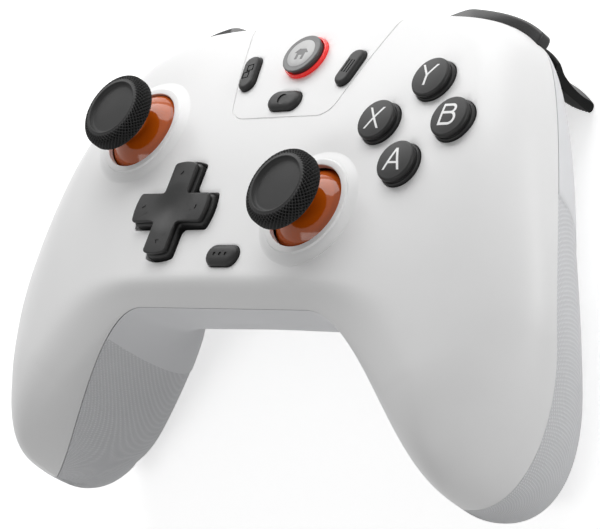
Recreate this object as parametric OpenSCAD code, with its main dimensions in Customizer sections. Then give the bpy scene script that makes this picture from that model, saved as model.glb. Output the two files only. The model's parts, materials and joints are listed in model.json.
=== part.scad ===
// Gamepad controller: two moulded shells with sticks, D-pad, buttons, bumpers and triggers.
// Everything is drawn in the face frame (x right, y to the triggers, z out of the face, zero at
// the face centre) and then leaned back so that the pad lies on its grips and trigger tips.

/* [Body outline] */
// Width across the two grips
body_w = 155; // [150:1:160]
// Top edge above the face centre
top_y = 42.5; // [41.5:0.1:43.5]
// Straight bottom edge below the face centre
bottom_y = 28.4; // [27.4:0.1:29.4]
// Half length of the straight bottom edge
bottom_half = 24.9; // [22:0.1:27]
// Shoulder corner, sideways from the centre
shoulder_x = 55.3; // [54:0.1:57]
// Shoulder corner above the face centre
shoulder_y = 36.4; // [35.5:0.1:37.5]
// Slope of the outline at the shoulder corner
shoulder_angle = 38.7; // [34:0.1:44]
// Widest place below the face centre
side_y = 26; // [22:0.5:30]
// Grip tip, sideways from the centre
tip_x = 61.5; // [58:0.5:64]
// Grip tip below the face centre
tip_y = 59.4; // [57:0.1:63]

/* [Depths behind the face] */
// Seam depth at the top edge
seam_top = 8.3; // [7.8:0.1:8.8]
// Seam depth at the shoulder corner
seam_shoulder = 14; // [12:0.1:15]
// Seam depth at the widest place
seam_side = 21.8; // [19:0.1:24]
// Seam depth at the bottom edge
seam_bottom = 4.5; // [4:0.1:6]
// Depth of the grip tip
tip_depth = 28.6; // [26:0.1:31]
// Depth of the back behind the face centre
rear_depth = 29.3; // [28.5:0.1:32]
// Depth of the back on the outer side of the grips
grip_swell_outer = 80.3; // [70:0.1:85]
// Depth of the back on the inner side of the grips
grip_swell_inner = 53; // [46:0.1:58]
// Depth of the grip tip's underside below its seam
tip_under = 13.8; // [12:0.1:16]

/* [Edges and walls] */
// Width of the bevel along the bottom edge
bevel_w = 4.4; // [3:0.1:6]
// Width of the roll on the inner side of the grips
grip_roll = 14.2; // [11:0.1:17]
// Rounding of the face at the top edge
top_round = 4.1; // [3.5:0.1:6]
// Rounding of the face at the sides
side_round = 20.7; // [17:0.1:24]
// Rounding of the face at the grip tips
grip_round = 13; // [10:0.1:15]
// Wall of both shells
wall = 2.2; // [1.8:0.1:2.5]
// Gap of the seam between the shells
seam_gap = 0.3; // [0.2:0.05:0.5]
// Width of the groove round the centre panel
groove_w = 0.5; // [0.3:0.1:0.8]
// Depth of the groove round the centre panel
groove_d = 0.4; // [0.2:0.1:0.6]

/* [Sticks] */
// Left stick, sideways from the centre
left_stick_x = -41.6; // [-43:0.1:-40.5]
// Left stick above the face centre
left_stick_y = 13; // [12:0.1:13.5]
// Right stick, sideways from the centre
right_stick_x = 19.8; // [19:0.1:20.5]
// Right stick below the face centre
right_stick_y = -7.3; // [-8.2:0.1:-7]
// Radius of the stick openings
stick_opening_r = 9.2; // [8.9:0.1:9.4]
// Outer radius of the raised rings
stick_ring_r = 11.3; // [11:0.1:11.8]
// Height of the raised rings over the face
stick_ring_proud = 1.2; // [0.8:0.1:1.4]
// Radius of the stick domes
stick_dome_r = 12; // [11.7:0.1:12.2]
// Wall of the stick domes
stick_dome_wall = 1.4; // [1.1:0.1:1.6]
// Radius of the thumb caps
cap_r = 8.9; // [8.4:0.1:9.1]
// Thickness of the thumb caps
cap_h = 4.2; // [3.6:0.1:4.6]
// Top of the thumb caps above the stick pivot
cap_top = 19; // [18.4:0.1:19.5]
// Depth of the dish in the thumb caps
cap_dish = 0.9; // [0.5:0.1:1.2]
// Radius of the stick shafts
stick_shaft_r = 1.6; // [1.4:0.1:1.7]
// Tilt of the sticks to each side
stick_tilt = 18; // [14:1:18]
// Click travel of the sticks
stick_click = 0.4; // [0.3:0.05:0.5]

/* [Face controls] */
// Face button cluster, sideways from the centre
cluster_x = 41.6; // [41:0.1:42.4]
// Face button cluster above the face centre
cluster_y = 12.3; // [11.6:0.1:12.6]
// Centre of the cluster to each button
cluster_pitch = 10.05; // [9.6:0.05:10.4]
// Radius of the face buttons
button_r = 4.9; // [4.6:0.1:5.1]
// Height of the face buttons over the face
button_proud = 2.1; // [1.8:0.1:3]
// Travel of the face buttons
button_travel = 1.5; // [1:0.1:1.6]
// D-pad, sideways from the centre
dpad_x = -20; // [-20.6:0.1:-19.4]
// D-pad below the face centre
dpad_y = -7.7; // [-8.4:0.1:-7]
// Half length of the D-pad arms
dpad_half = 11; // [10.4:0.1:11.3]
// Width of the D-pad arms
dpad_arm_w = 6.7; // [6.2:0.1:7.2]
// Height of the D-pad over the face
dpad_proud = 2.2; // [2:0.1:3]
// Step of the D-pad base beyond its top
dpad_step = 0.7; // [0.3:0.1:0.9]
// Tilt of the D-pad to each side
dpad_tilt = 5; // [3:0.5:5]
// Home button above the face centre
home_y = 30.6; // [30:0.1:31]
// Radius of the home button
home_r = 4.6; // [4.3:0.1:4.8]
// Height of the home button over the face
home_proud = 2.2; // [1.8:0.1:2.6]
// Wall of the light ring round the home button
light_wall = 0.5; // [0.4:0.1:0.7]
// Height of the light ring over the face
light_proud = 0.9; // [0.6:0.1:1.2]
// View and menu buttons, sideways from the centre
side_key_x = 15.2; // [14.6:0.1:15.8]
// View and menu buttons above the face centre
side_key_y = 27; // [26.4:0.1:27.6]
// Lean of the view and menu buttons
side_key_lean = 13; // [8:1:18]
// Length of the view and menu buttons
side_key_len = 9.3; // [8.8:0.1:10]
// Width of the view and menu buttons
side_key_w = 4.2; // [3.8:0.1:4.6]
// Share button above the face centre
share_y = 19.1; // [18.6:0.1:19.6]
// Macro button below the face centre
macro_y = -18.5; // [-19:0.1:-18]
// Length of the share and macro buttons
mid_key_len = 9.2; // [8.6:0.1:9.6]
// Width of the share and macro buttons
mid_key_w = 4.9; // [4.6:0.1:5.3]
// Height of the small buttons over the face
key_proud = 1; // [0.9:0.1:1.5]
// Travel of the small buttons
key_travel = 0.6; // [0.4:0.1:0.7]

/* [Bumpers and triggers] */
// How far the bumpers stand out past the outline
bumper_proud = 2.4; // [2:0.1:3]
// How far the bumpers reach inside the outline
bumper_inset = 3; // [2.5:0.1:3.3]
// Top of the bumpers behind the face centre
bumper_top = 8.9; // [8.7:0.1:9.3]
// Height of the bumpers
bumper_h = 8.7; // [8:0.1:9]
// Press of the bumpers
bumper_press = 1.8; // [1:0.1:2]
// Trigger pivot above the face centre
trigger_y = 28.5; // [28:0.1:29]
// Trigger pivot behind the face
trigger_z = 20.5; // [20.2:0.1:21]
// Radius of the trigger hubs
trigger_hub_r = 5.5; // [5:0.1:5.6]
// Radius of the trigger pins
trigger_pin_r = 1.5; // [1.2:0.1:1.6]
// Depth of the trigger tips at the outer end
trigger_tip = 32.6; // [31:0.1:34]
// Depth of the trigger tips at the inner end
trigger_tip_inner = 27.5; // [26:0.1:29]

/* [Inside] */
// Top of the main board behind the face
board_depth = 14; // [13.9:0.1:14.3]
// Thickness of the main board
board_t = 1.2; // [1:0.1:1.6]
// Length of the battery
battery_len = 50; // [40:1:52]
// Width of the battery
battery_w = 32; // [26:1:34]
// Thickness of the battery
battery_t = 6; // [5:0.1:6.4]
// Radius of the rumble motors
motor_r = 6; // [5:0.1:6.5]
// Length of the rumble motors
motor_len = 12; // [10:0.5:13]
// Radius of the left rumble weight
left_weight_r = 8; // [6:0.1:8.5]
// Radius of the right rumble weight
right_weight_r = 6.5; // [5:0.1:8.5]
// Width of the charging socket
usb_w = 9; // [8.8:0.1:9.2]
// Height of the charging socket
usb_h = 3.2; // [3.1:0.1:3.4]
// Length of the charging socket
usb_len = 7.3; // [7:0.1:7.6]
// Lean of the face when the pad lies on a table
rest_lean = 13.4; // [8:0.1:16]

/* [Hidden] */
$fn = 48;
round_fn = 32;
big = 80;
clear = 0.35;
slide_clear = 0.3;
pin_clear = 0.05;
over = 1;
thin = 0.01;

// Seam curve on the outer side, from the top centre over the shoulder and side to the grip tip.
function bez(c, t) = pow(1 - t, 3) * c[0] + 3 * t * pow(1 - t, 2) * c[1]
    + 3 * t * t * (1 - t) * c[2] + pow(t, 3) * c[3];
top_handle = 39.3;
shoulder_in = 10.7;
shoulder_out = 10.1;
shoulder_fall = 0.08;
side_fall = 0.56;
side_in = 16;
side_out = 14.7;
tip_handle = 13;
tip_dip = 2.5;
top_point = [0, top_y, -seam_top];
shoulder = [shoulder_x, shoulder_y, -seam_shoulder];
shoulder_dir = [cos(shoulder_angle), -sin(shoulder_angle), -shoulder_fall];
side_point = [body_w / 2, -side_y, -seam_side];
side_dir = [0, -1, -side_fall];
tip = [tip_x, -tip_y, -tip_depth];
top_curve = [top_point, top_point + [top_handle, 0, 0], shoulder - shoulder_in * shoulder_dir, shoulder];
side_curve = [shoulder, shoulder + shoulder_out * shoulder_dir, side_point - side_in * side_dir, side_point];
grip_curve = [side_point, side_point + side_out * side_dir, tip + [tip_handle, 0, -tip_dip], tip];
side_share = shoulder_out / shoulder_in;
grip_share = side_share * side_out / side_in;
knee_a = 1 / (1 + side_share + grip_share);
knee_b = (1 + side_share) * knee_a;
function outer(u) = u < knee_a ? bez(top_curve, u / knee_a)
    : u < knee_b ? bez(side_curve, (u - knee_a) / (knee_b - knee_a))
    : bez(grip_curve, (u - knee_b) / (1 - knee_b));

// Seam curve on the inner side, along the bottom edge and down the inside of the grip.
corner_handle = 15;
inner_tip_handle = [-13, 3.6, 8.4];
corner = [bottom_half, -bottom_y, -seam_bottom];
inner_curve = [corner, corner + [corner_handle, 0, 0], tip + inner_tip_handle, tip];
knee_in = bottom_half / (bottom_half + 3 * corner_handle);
function inner(u) = u < knee_in ? [bottom_half * u / knee_in, -bottom_y, -seam_bottom]
    : bez(inner_curve, (u - knee_in) / (1 - knee_in));

// Blends used by both skins.
function clip(t) = min(max(t, 0), 1);
function smooth(u, a, b) = let (t = clip((u - a) / (b - a))) t * t * (3 - 2 * t);
function soft_min(a, b, k) = let (h = clip(0.5 + 0.5 * (b - a) / k)) b * (1 - h) + a * h - k * h * (1 - h);
function swell(t, n) = pow(max(1 - pow(1 - clip(t), n), 0), 1 / n);
tip_start = 0.704;
function closing(u) = sqrt(1 - pow(clip((u - tip_start) / (1 - tip_start)), 2));
function plan_len(u) = let (d = outer(u) - inner(u)) norm([d.x, d.y]);

// Height of the face: it falls to the top edge, and falls away along each grip.
face_flat = 1.1;
face_fall = 0.00264;
face_cross = 0.00012;
function face_z(x, y) = -face_fall * pow(max(y - face_flat, 0), 2) - face_cross * x * x;
grip_axis = [0.587, -0.8096];
grip_from = [35, -10];
grip_start = -2.93;
grip_drop = 0.013;
grip_power = 1.66;
function grip_fall(x, y) = grip_drop
    * pow(max([x - grip_from.x, y - grip_from.y] * grip_axis - grip_start, 0), grip_power);

// Point of the front skin at u along the body and q across it, from inner to outer seam.
function front_point(u, q) = let (
    b = inner(u), t = outer(u), len = max(plan_len(u), 0.001), w = q * len,
    e = smooth(u, knee_in, 0.75),
    c = min(bevel_w * (1 - e) + grip_roll * e, 0.42 * len),
    r = min(top_round + (side_round - top_round) * smooth(u, 0.1, knee_b)
        + (grip_round - side_round) * smooth(u, knee_b - 0.1, 0.95), 0.58 * len),
    rise_b = clip(soft_min(w / c, 1, 0.35)) * (1 - e) + swell(w / c, 2) * e,
    rise_t = swell((len - w) / r, 2),
    p = b + (t - b) * q,
    z = -tip_depth + (face_z(p.x, p.y) - grip_fall(p.x, p.y) + tip_depth) * closing(u)
) [p.x, p.y, z - (z - b.z) * (1 - rise_b) - (z - t.z) * (1 - rise_t)];

// Point of the rear skin, which starts a seam gap below the front one.
rear_roll = 13.8;
rear_round_top = 20.1;
rear_round_grip = 40;
rear_power_in = 2.055;
rear_power_out = 1.609;
belly_start = 0.4;
belly_inner = 47.7;
belly_outer = 6;
belly_flat = 0.08;
function from_middle(u) = (sqrt(u * u + belly_flat * belly_flat) - belly_flat)
    / (sqrt(1 + belly_flat * belly_flat) - belly_flat);
function rear_point(u, q) = let (
    b = inner(u) - [0, 0, seam_gap], t = outer(u) - [0, 0, seam_gap],
    len = max(plan_len(u), 0.001), w = q * len,
    c = min(rear_roll, 0.5 * len),
    r = min(rear_round_top + (rear_round_grip - rear_round_top) * smooth(u, knee_a, 0.9), 0.5 * len),
    rise_b = swell(w / c, rear_power_in),
    rise_t = swell((len - w) / r, rear_power_out),
    low = -tip_depth - tip_under,
    v = clip((u - belly_start) / (1 - belly_start)),
    deep_b = bez([-rear_depth, -belly_inner, -grip_swell_inner, low], v),
    deep_t = bez([-rear_depth, -belly_outer, -grip_swell_outer, low], from_middle(u)),
    p = b + (t - b) * q,
    z = -tip_depth + (deep_b + (deep_t - deep_b) * q + tip_depth) * closing(u)
) [p.x, p.y, z + (b.z - z) * (1 - rise_b) + (t.z - z) * (1 - rise_t)];

// Rings of points across the body, and the closed skin through a row of rings.
ribs = 26;
rib_points = 18;
hollow_end = 0.9;
function spread(i, n) = (1 - cos(180 * i / n)) / 2;
function along(i, n) = sin(90 * abs(i) / n);
function sided(p, i) = [i < 0 ? -p.x : p.x, p.y, p.z];
function front_ring(i) = let (u = along(i, ribs))
    [for (k = [0 : rib_points]) sided(front_point(u, spread(k, rib_points)), i)];
function rear_ring(i) = let (u = along(i, ribs))
    [for (k = [0 : rib_points]) sided(rear_point(u, spread(k, rib_points)), i)];
last_rib = ribs - 0.35;
rib_stops = concat([-last_rib], [for (i = [1 - ribs : ribs - 1]) i], [last_rib]);
front_rings = [for (i = rib_stops) front_ring(i)];
rear_rings = [for (i = rib_stops) rear_ring(i)];

// The same rings with a floor far below, or a roof far above, to trim what stands on the walls.
function walled(rings, z) = [for (r = rings) let (n = len(r) - 1)
    concat(r, [[r[n].x, r[n].y, z], [r[0].x, r[0].y, z]])];

// Rings of the hollow inside a skin: wall in from each seam, wall under the skin.
hollow_ribs = 14;
hollow_points = 12;
skirt = 1;
function hollow_ring(i, front) = let (
    u = hollow_end * abs(i) / hollow_ribs,
    m = wall / plan_len(u),
    seam = [for (q = [m, 1 - m]) inner(u) + (outer(u) - inner(u)) * q],
    d = front ? -1 : 1,
    skin = [for (k = [0 : hollow_points]) let (q = m + (1 - 2 * m) * spread(k, hollow_points))
        (front ? front_point(u, q) : rear_point(u, q)) + [0, 0, d * wall]]
) [for (p = concat([seam[0] + [0, 0, d * skirt]], skin, [seam[1] + [0, 0, d * skirt]])) sided(p, i)];
function hollow_rings(front) = [for (i = [-hollow_ribs : hollow_ribs]) hollow_ring(i, front)];

module skin_of(rings, flip = false) {
    n = len(rings[0]);
    m = len(rings);
    sides = [for (i = [0 : m - 2], k = [0 : n - 1]) let (j = (k + 1) % n)
        [i * n + k, i * n + j, (i + 1) * n + j, (i + 1) * n + k]];
    ends = [[for (k = [n - 1 : -1 : 0]) k], [for (k = [0 : n - 1]) (m - 1) * n + k]];
    tris = concat([for (f = sides, h = [[0, 1, 2], [0, 2, 3]]) [for (c = h) f[c]]], ends);
    faces = [for (f = tris) flip ? [for (k = [len(f) - 1 : -1 : 0]) f[k]] : f];
    polyhedron([for (r = rings, p = r) p], faces);
}

// The lean that lays the pad on the table.
function lean_y(p) = p.y * cos(rest_lean) + p.z * sin(rest_lean);
function lean_z(p) = -p.y * sin(rest_lean) + p.z * cos(rest_lean);
module seat() {
    translate(seat_move) rotate([-rest_lean, 0, 0]) children();
}
module on_side(side) {
    mirror([side < 0 ? 1 : 0, 0, 0]) children();
}
module at_face(x, y, lift = 0) {
    translate([x, y, face_z(x, y) + lift]) children();
}
module rod_x(r, from, to) {
    translate([from, 0, 0]) rotate([0, 90, 0]) cylinder(r = r, h = to - from);
}
module rod_y(r, half) {
    rotate([90, 0, 0]) cylinder(r = r, h = 2 * half, center = true);
}
module capsule(l, w, h, grow = 0) {
    r = w / 2 + grow;
    hull() {
        for (s = [-1, 1]) translate([s * (l - w) / 2, 0, 0]) cylinder(r = r, h = h, $fn = round_fn);
    }
}

// Stations along the shoulder, shared by bumper and trigger.
bumper_from = 0.106;
bumper_to = 0.38;
bumper_steps = 14;
bumper_taper = 0.05;
function outline_dir(u) = let (d = outer(u + 0.002) - outer(u - 0.002)) [d.x, d.y] / norm([d.x, d.y]);
function outline_off(u, out) = let (p = outer(u), d = outline_dir(u)) [p.x - d.y * out, p.y + d.x * out];
function bumper_stop(k) = bumper_from + (bumper_to - bumper_from) * k / bumper_steps;
function bumper_edge(out) = [for (k = [0 : bumper_steps]) let (u = bumper_stop(k))
    outline_off(u, out * smooth(u, bumper_from - 0.01, bumper_from + bumper_taper))];
function bumper_outline(grow) = concat(bumper_edge(bumper_proud + grow),
    [for (k = [bumper_steps : -1 : 0]) outline_off(bumper_stop(k), -bumper_inset - grow)]);
hinge_r = 1.6;
hinge_back = 3.4;
bumper_hinge = outline_off(bumper_from, -hinge_back);
bumper_spare = 0.55;
bumper_room = (outer(bumper_to).x - bumper_hinge.x) * sin(bumper_press) + bumper_spare;
trigger_gap = 0.8;
trigger_top = bumper_top + bumper_h + trigger_gap;
trigger_from = 0.118;
trigger_to = 0.365;
trigger_steps = 9;
trigger_root = 3.1;
window_spare = 0.006;
// Front of a trigger: out from the outline, and share of the way down to its tip.
finger = [[0.2, 0], [-1.2, 0.22], [-2, 0.47], [-2.1, 0.72], [-1.7, 0.95]];
// Underside of a trigger: out from the outline, and up from its tip.
heel = [[-2.6, 0], [-4, 0.6], [-6.2, 3.4]];
function trigger_ring(u) = let (
    p = outer(u),
    s = (u - trigger_from) / (trigger_to - trigger_from),
    t = -trigger_tip_inner - (trigger_tip - trigger_tip_inner) * smooth(s, 0, 1),
    root = trigger_y + trigger_root,
    sink = -trigger_top,
    deep = t - sink
) concat([for (f = finger) [p.x, p.y + f.x, sink + deep * f.y]], [for (h = heel) [p.x, p.y + h.x, t + h.y]],
    [[p.x, root, -trigger_z - trigger_root], [p.x, root, sink]]);
trigger_rings = [for (k = [0 : trigger_steps])
    trigger_ring(trigger_from + (trigger_to - trigger_from) * k / trigger_steps)];

// How far the leaned pad moves to stand on the origin.
seat_low = min([for (r = concat(rear_rings, trigger_rings), p = r) lean_z(p)]);
seat_back = min([for (r = concat(front_rings, rear_rings), p = r) lean_y(p)]);
seat_front = max([for (p = bumper_outline(0)) lean_y([p.x, p.y, -bumper_top])]);
seat_move = [0, -(seat_back + seat_front) / 2, -seat_low];

// Levels that several pieces share, measured from the face centre.
board_z = -board_depth;
mat_t = 1;
dome_spare = 0.7;
dome_h = button_travel + dome_spare;
dome_top = board_z + mat_t + dome_h;
press_gap = 0.2;
switch_h = 2.2;
switch_cap = 1;
switch_top = board_z + switch_h + switch_cap;
key_bottom = switch_top + key_travel + press_gap;
flange_t = 1;
stick_lift = 5.6;
stick_z = board_z + stick_lift;
stick_seat = 0.7;
dome_room = 0.6;
sticks = [[left_stick_x, left_stick_y], [right_stick_x, right_stick_y]];
cluster = [cluster_x, cluster_y];
face_buttons = [for (d = [[0, -1], [1, 0], [-1, 0], [0, 1]]) cluster + cluster_pitch * d];
dpad_pivot_z = -4.5;

// Posts that join the shells and carry the board and the trigger brackets.
case_post_r = 3;
sleeve_wall = 1;
case_screw_r = 1.2;
case_head_r = 2.3;
case_head_h = 1.6;
upper_post = [22, 36];
upper_split = 13;
upper_head = 15.6;
grip_post = [60, -46];
grip_split = 25;
grip_head = 31;
case_levels = [[upper_post, upper_split, upper_head], [grip_post, grip_split, grip_head]];
case_posts = [for (s = [-1, 1], p = case_levels) [[s * p[0].x, p[0].y], p[1], p[2]]];
case_grip = 8;
board_posts = [[-22, 12], [22, 12], [0, -6]];
board_post_r = 2.2;
board_screw_r = 1;
board_screw_len = 6;
board_head_h = 1.2;
screw_spare = 0.5;
bracket_t = 1.4;
bracket_w = 4.8;
bracket_top = 13;
ear_t = 2;
ear_in = 27.4;
ear_out = 52.4;
peg_in = 3.6;
peg_out = 3.4;
bracket_pegs = [ear_in + peg_in, ear_out - peg_out];
peg_r = 1.1;
hub_play_in = 0.6;
hub_play_out = 0.4;
hub_from = ear_in + ear_t + hub_play_in;
hub_to = ear_out - hub_play_out;
spring_len = 3;
spring_wall = 0.8;
spring_gap = 0.3;

// Rumble motors in the grips, with their axis along the width.
motor_at = [55, -27, -24];
motor_shaft_r = 1;
motor_shaft_in = 8;
weight_gap = 1;
weight_t = 6;
cradle_t = 2;
cradle_w = 7;
cradle_stops = [2, motor_len - 4];
battery_at = [0, 8];
battery_top = 16.8;
rail_w = 3;
rail_stops = [-10, 10];
usb_mouth = 41.2;
usb_wall = 0.35;

// Centre panel: a trapezoid with round lower corners.
panel_low = 15;
panel_low_half = 16;
panel_high_half = 24.5;
panel_corner = 5;
module panel(grow) {
    hull() {
        for (s = [-1, 1]) {
            translate([s * (panel_low_half - panel_corner), panel_low + panel_corner])
                circle(r = panel_corner + grow, $fn = round_fn);
            translate([s * (panel_high_half - panel_corner), top_y + panel_corner])
                circle(r = panel_corner + grow, $fn = round_fn);
        }
    }
}
module panel_groove() {
    difference() {
        translate([0, 0, -big / 2]) linear_extrude(height = big) difference() {
            panel(groove_w / 2);
            panel(-groove_w / 2);
        }
        translate([0, 0, -groove_d]) skin_of(front_rings);
    }
}
module cross(half, w) {
    intersection() {
        circle(r = half, $fn = 96);
        union() {
            square([2 * half, w], center = true);
            square([w, 2 * half], center = true);
        }
    }
}
notch_tip = 0.2;
module shoulder_notch() {
    translate([0, 0, -bumper_top - bumper_h - clear]) linear_extrude(height = bumper_h + 2 * clear) {
        polygon(concat([for (k = [0 : bumper_steps]) outline_off(bumper_stop(k), 4 * bumper_proud)],
            [for (k = [bumper_steps : -1 : 0]) outline_off(bumper_stop(k), -bumper_inset - bumper_room)]));
        hull() {
            for (d = [notch_tip, bumper_room]) translate(outline_off(bumper_to, -d))
                circle(r = d, $fn = round_fn);
            translate(outline_off(bumper_to, 2 * bumper_proud)) circle(r = clear, $fn = round_fn);
        }
        translate(bumper_hinge) circle(r = hinge_r + clear, $fn = round_fn);
    }
}

// Room round a trigger's bracket: its plate and its two ears.
module bracket_room() {
    room = bracket_w + 2 * clear;
    translate([ear_in - clear, trigger_y - room / 2, -bracket_top - bracket_t - clear])
        cube([ear_out + ear_t - ear_in + 2 * clear, room, bracket_t + 2 * clear]);
    for (x = [ear_in, ear_out]) translate([x - clear, trigger_y - room / 2, -trigger_z])
        cube([ear_t + 2 * clear, room, trigger_z - bracket_top]);
}

// Shells.
module front_posts() {
    $fn = round_fn;
    intersection() {
        translate([0, 0, -wall / 2]) skin_of(walled(front_rings, -big));
        union() {
            for (p = case_posts) translate([p[0].x, p[0].y, -p[1]]) cylinder(r = case_post_r, h = big);
            for (p = board_posts) translate([p.x, p.y, board_z]) cylinder(r = board_post_r, h = big);
            for (s = [-1, 1], x = bracket_pegs) translate([s * x, trigger_y, -bracket_top]) {
                cylinder(r = 2 * peg_r, h = big);
                translate([0, 0, -bracket_t]) cylinder(r = peg_r, h = big);
            }
        }
    }
}
module front_openings() {
    $fn = round_fn;
    for (s = sticks) {
        translate([s.x, s.y, stick_z]) sphere(r = stick_dome_r + dome_room);
        at_face(s.x, s.y, -stick_seat) cylinder(r = stick_ring_r + pin_clear, h = big);
    }
    for (p = face_buttons) translate([p.x, p.y, -big / 2]) cylinder(r = button_r + clear, h = big);
    translate([dpad_x, dpad_y, -big / 2]) linear_extrude(height = big)
        cross(dpad_half + dpad_step + 2 * clear, dpad_arm_w + 2 * dpad_step + 4 * clear);
    translate([0, home_y, -big / 2]) cylinder(r = light_r + pin_clear, h = big);
    for (s = [-1, 1]) translate([s * side_key_x, side_key_y, -big / 2]) rotate(90 - s * side_key_lean)
        capsule(side_key_len, side_key_w, big, slide_clear);
    for (y = [share_y, macro_y]) translate([0, y, -big / 2])
        capsule(mid_key_len, mid_key_w, big, slide_clear);
    for (p = case_posts) translate([p[0].x, p[0].y, -p[1] - over])
        cylinder(r = case_screw_r + pin_clear, h = case_grip + over);
    for (p = board_posts) translate([p.x, p.y, board_z - over])
        cylinder(r = board_screw_r + pin_clear, h = board_screw_len + over);
    for (s = [-1, 1]) on_side(s) shoulder_notch();
    panel_groove();
}
module front_shell() color("whitesmoke") seat() {
    difference() {
        union() {
            difference() {
                skin_of(front_rings);
                skin_of(hollow_rings(true));
                for (s = [-1, 1]) on_side(s) bracket_room();
            }
            front_posts();
        }
        front_openings();
    }
}
module rear_posts() {
    intersection() {
        translate([0, 0, wall / 2]) skin_of(walled(rear_rings, big), true);
        union() {
            for (p = case_posts) translate([p[0].x, p[0].y, -p[1] - big])
                cylinder(r = case_post_r + sleeve_wall, h = big);
            for (x = rail_stops) translate([x, battery_at.y, -battery_top - battery_t - big])
                linear_extrude(height = big) square([rail_w, battery_w], center = true);
            for (s = [-1, 1], x = cradle_stops) on_side(s)
                translate(motor_at + [x + cradle_t / 2, 0, -big])
                    linear_extrude(height = big) square([cradle_t, 2 * cradle_w], center = true);
        }
    }
}
window_stops = [trigger_from - window_spare, trigger_to + window_spare];
module trigger_window() {
    translate([0, trigger_y, -trigger_z]) {
        rod_x(trigger_hub_r + clear, hub_from - clear, hub_to + clear);
        rod_x(bracket_w / 2 + clear, ear_in - clear, ear_out + ear_t + clear);
    }
    hull() {
        for (u = window_stops) translate([outer(u).x, trigger_y, -trigger_top])
            linear_extrude(height = thin + bumper_h / 2) square([thin, 2 * big]);
        for (u = window_stops) translate([outer(u).x, trigger_y, -big])
            linear_extrude(height = big / 2) square([thin, 2 * big]);
    }
}
module rear_shell() color("gainsboro") seat() {
    difference() {
        union() {
            difference() {
                skin_of(rear_rings, true);
                skin_of(hollow_rings(false), true);
            }
            rear_posts();
        }
        for (p = case_posts) translate([p[0].x, p[0].y, -p[2]]) {
            cylinder(r = case_screw_r + 2 * pin_clear, h = big);
            translate([0, 0, -big]) cylinder(r = case_head_r + 2 * pin_clear, h = big);
        }
        for (s = [-1, 1]) on_side(s) {
            translate(motor_at) rod_x(motor_r + pin_clear, 0, motor_len);
            shoulder_notch();
            trigger_window();
            bracket_room();
        }
        translate([0, usb_mouth + 2 * wall, board_z + usb_h / 2]) rotate([90, 0, 0])
            capsule(usb_w, usb_h, 4 * wall, clear);
    }
}

// Sticks.
ring_slope = 0.7;
module stick_ring(s) color("white") seat() difference() {
    at_face(s.x, s.y, -stick_seat) difference() {
        union() {
            cylinder(r = stick_ring_r, h = stick_seat + stick_ring_proud / 2);
            translate([0, 0, stick_seat + stick_ring_proud / 2])
                cylinder(r1 = stick_ring_r, r2 = stick_ring_r - ring_slope, h = stick_ring_proud / 2);
        }
        translate([0, 0, -over]) cylinder(r = stick_opening_r, h = big);
    }
    translate([s.x, s.y, stick_z]) sphere(r = stick_dome_r + dome_room);
}
cap_neck_r = 3.6;
cap_pocket_r = cap_neck_r + 2 * pin_clear;
neck_in = 0.8;
neck_root = 2;
neck_top = cap_top - cap_h + neck_in;
cap_edge = 1.1;
cap_lip = 6.2;
function arc(c, r, a0, a1, n) = [for (k = [0 : n]) let (a = a0 + (a1 - a0) * k / n)
    c + r * [cos(a), sin(a)]];
dish_r = (cap_lip * cap_lip + cap_dish * cap_dish) / (2 * cap_dish);
dish_half = asin(cap_lip / dish_r);
module stick_cap(s) color("#1b1b1d") seat() translate([s.x, s.y, stick_z]) rotate_extrude() polygon(concat(
    [[0, neck_top], [cap_pocket_r, neck_top], [cap_pocket_r, cap_top - cap_h]],
    arc([cap_r - cap_edge, cap_top - cap_h + cap_edge], cap_edge, -90, 0, 4),
    arc([cap_r - cap_edge, cap_top - cap_edge], cap_edge, 0, 90, 4),
    arc([0, cap_top + dish_r - cap_dish], dish_r, dish_half - 90, -90, 5)));
rim_spare = 6;
dome_rim = stick_dome_r * cos(atan2(stick_opening_r, -stick_z) + stick_tilt + rim_spare);
module stick_stem(s) color("#c8500a") seat() translate([s.x, s.y, stick_z]) difference() {
    union() {
        sphere(r = stick_dome_r);
        translate([0, 0, stick_dome_r - neck_root])
            cylinder(r = cap_neck_r, h = neck_top - stick_dome_r + neck_root);
    }
    sphere(r = stick_dome_r - stick_dome_wall);
    translate([0, 0, dome_rim - big]) cylinder(r = big / 2, h = big);
    translate([0, 0, over]) cylinder(r = stick_shaft_r + pin_clear, h = neck_top - over - pin_clear);
}
gimbal_out = 6;
gimbal_wall = 1.2;
gimbal_up = 2.2;
module_half = 8;
module_floor = 1.4;
yoke_half = 3.5;
yoke_h = 4;
yoke_slot = [2.6, 1.9];
yoke_pin_r = 1.2;
cross_pin_r = 0.9;
shaft_foot = 2.2;
shaft_spare = 0.4;
pin_root = 0.4;
module stick_shaft(s) color("silver") seat() translate([s.x, s.y, stick_z]) {
    translate([0, 0, -shaft_foot])
        cylinder(r = stick_shaft_r, h = neck_top - stick_click - shaft_spare + shaft_foot);
    rod_y(cross_pin_r, yoke_half - 2 * pin_clear);
}
module stick_yoke(s) color("dimgray") seat() translate([s.x, s.y, stick_z]) {
    difference() {
        cube([2 * yoke_half, 2 * yoke_half, yoke_h], center = true);
        cube([2 * yoke_slot.x, 2 * yoke_slot.y, 2 * yoke_h], center = true);
        rod_y(cross_pin_r + pin_clear, 2 * yoke_half);
    }
    rod_x(yoke_pin_r, yoke_half - pin_root, gimbal_out - pin_clear);
    rod_x(yoke_pin_r, pin_clear - gimbal_out, pin_root - yoke_half);
}
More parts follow.
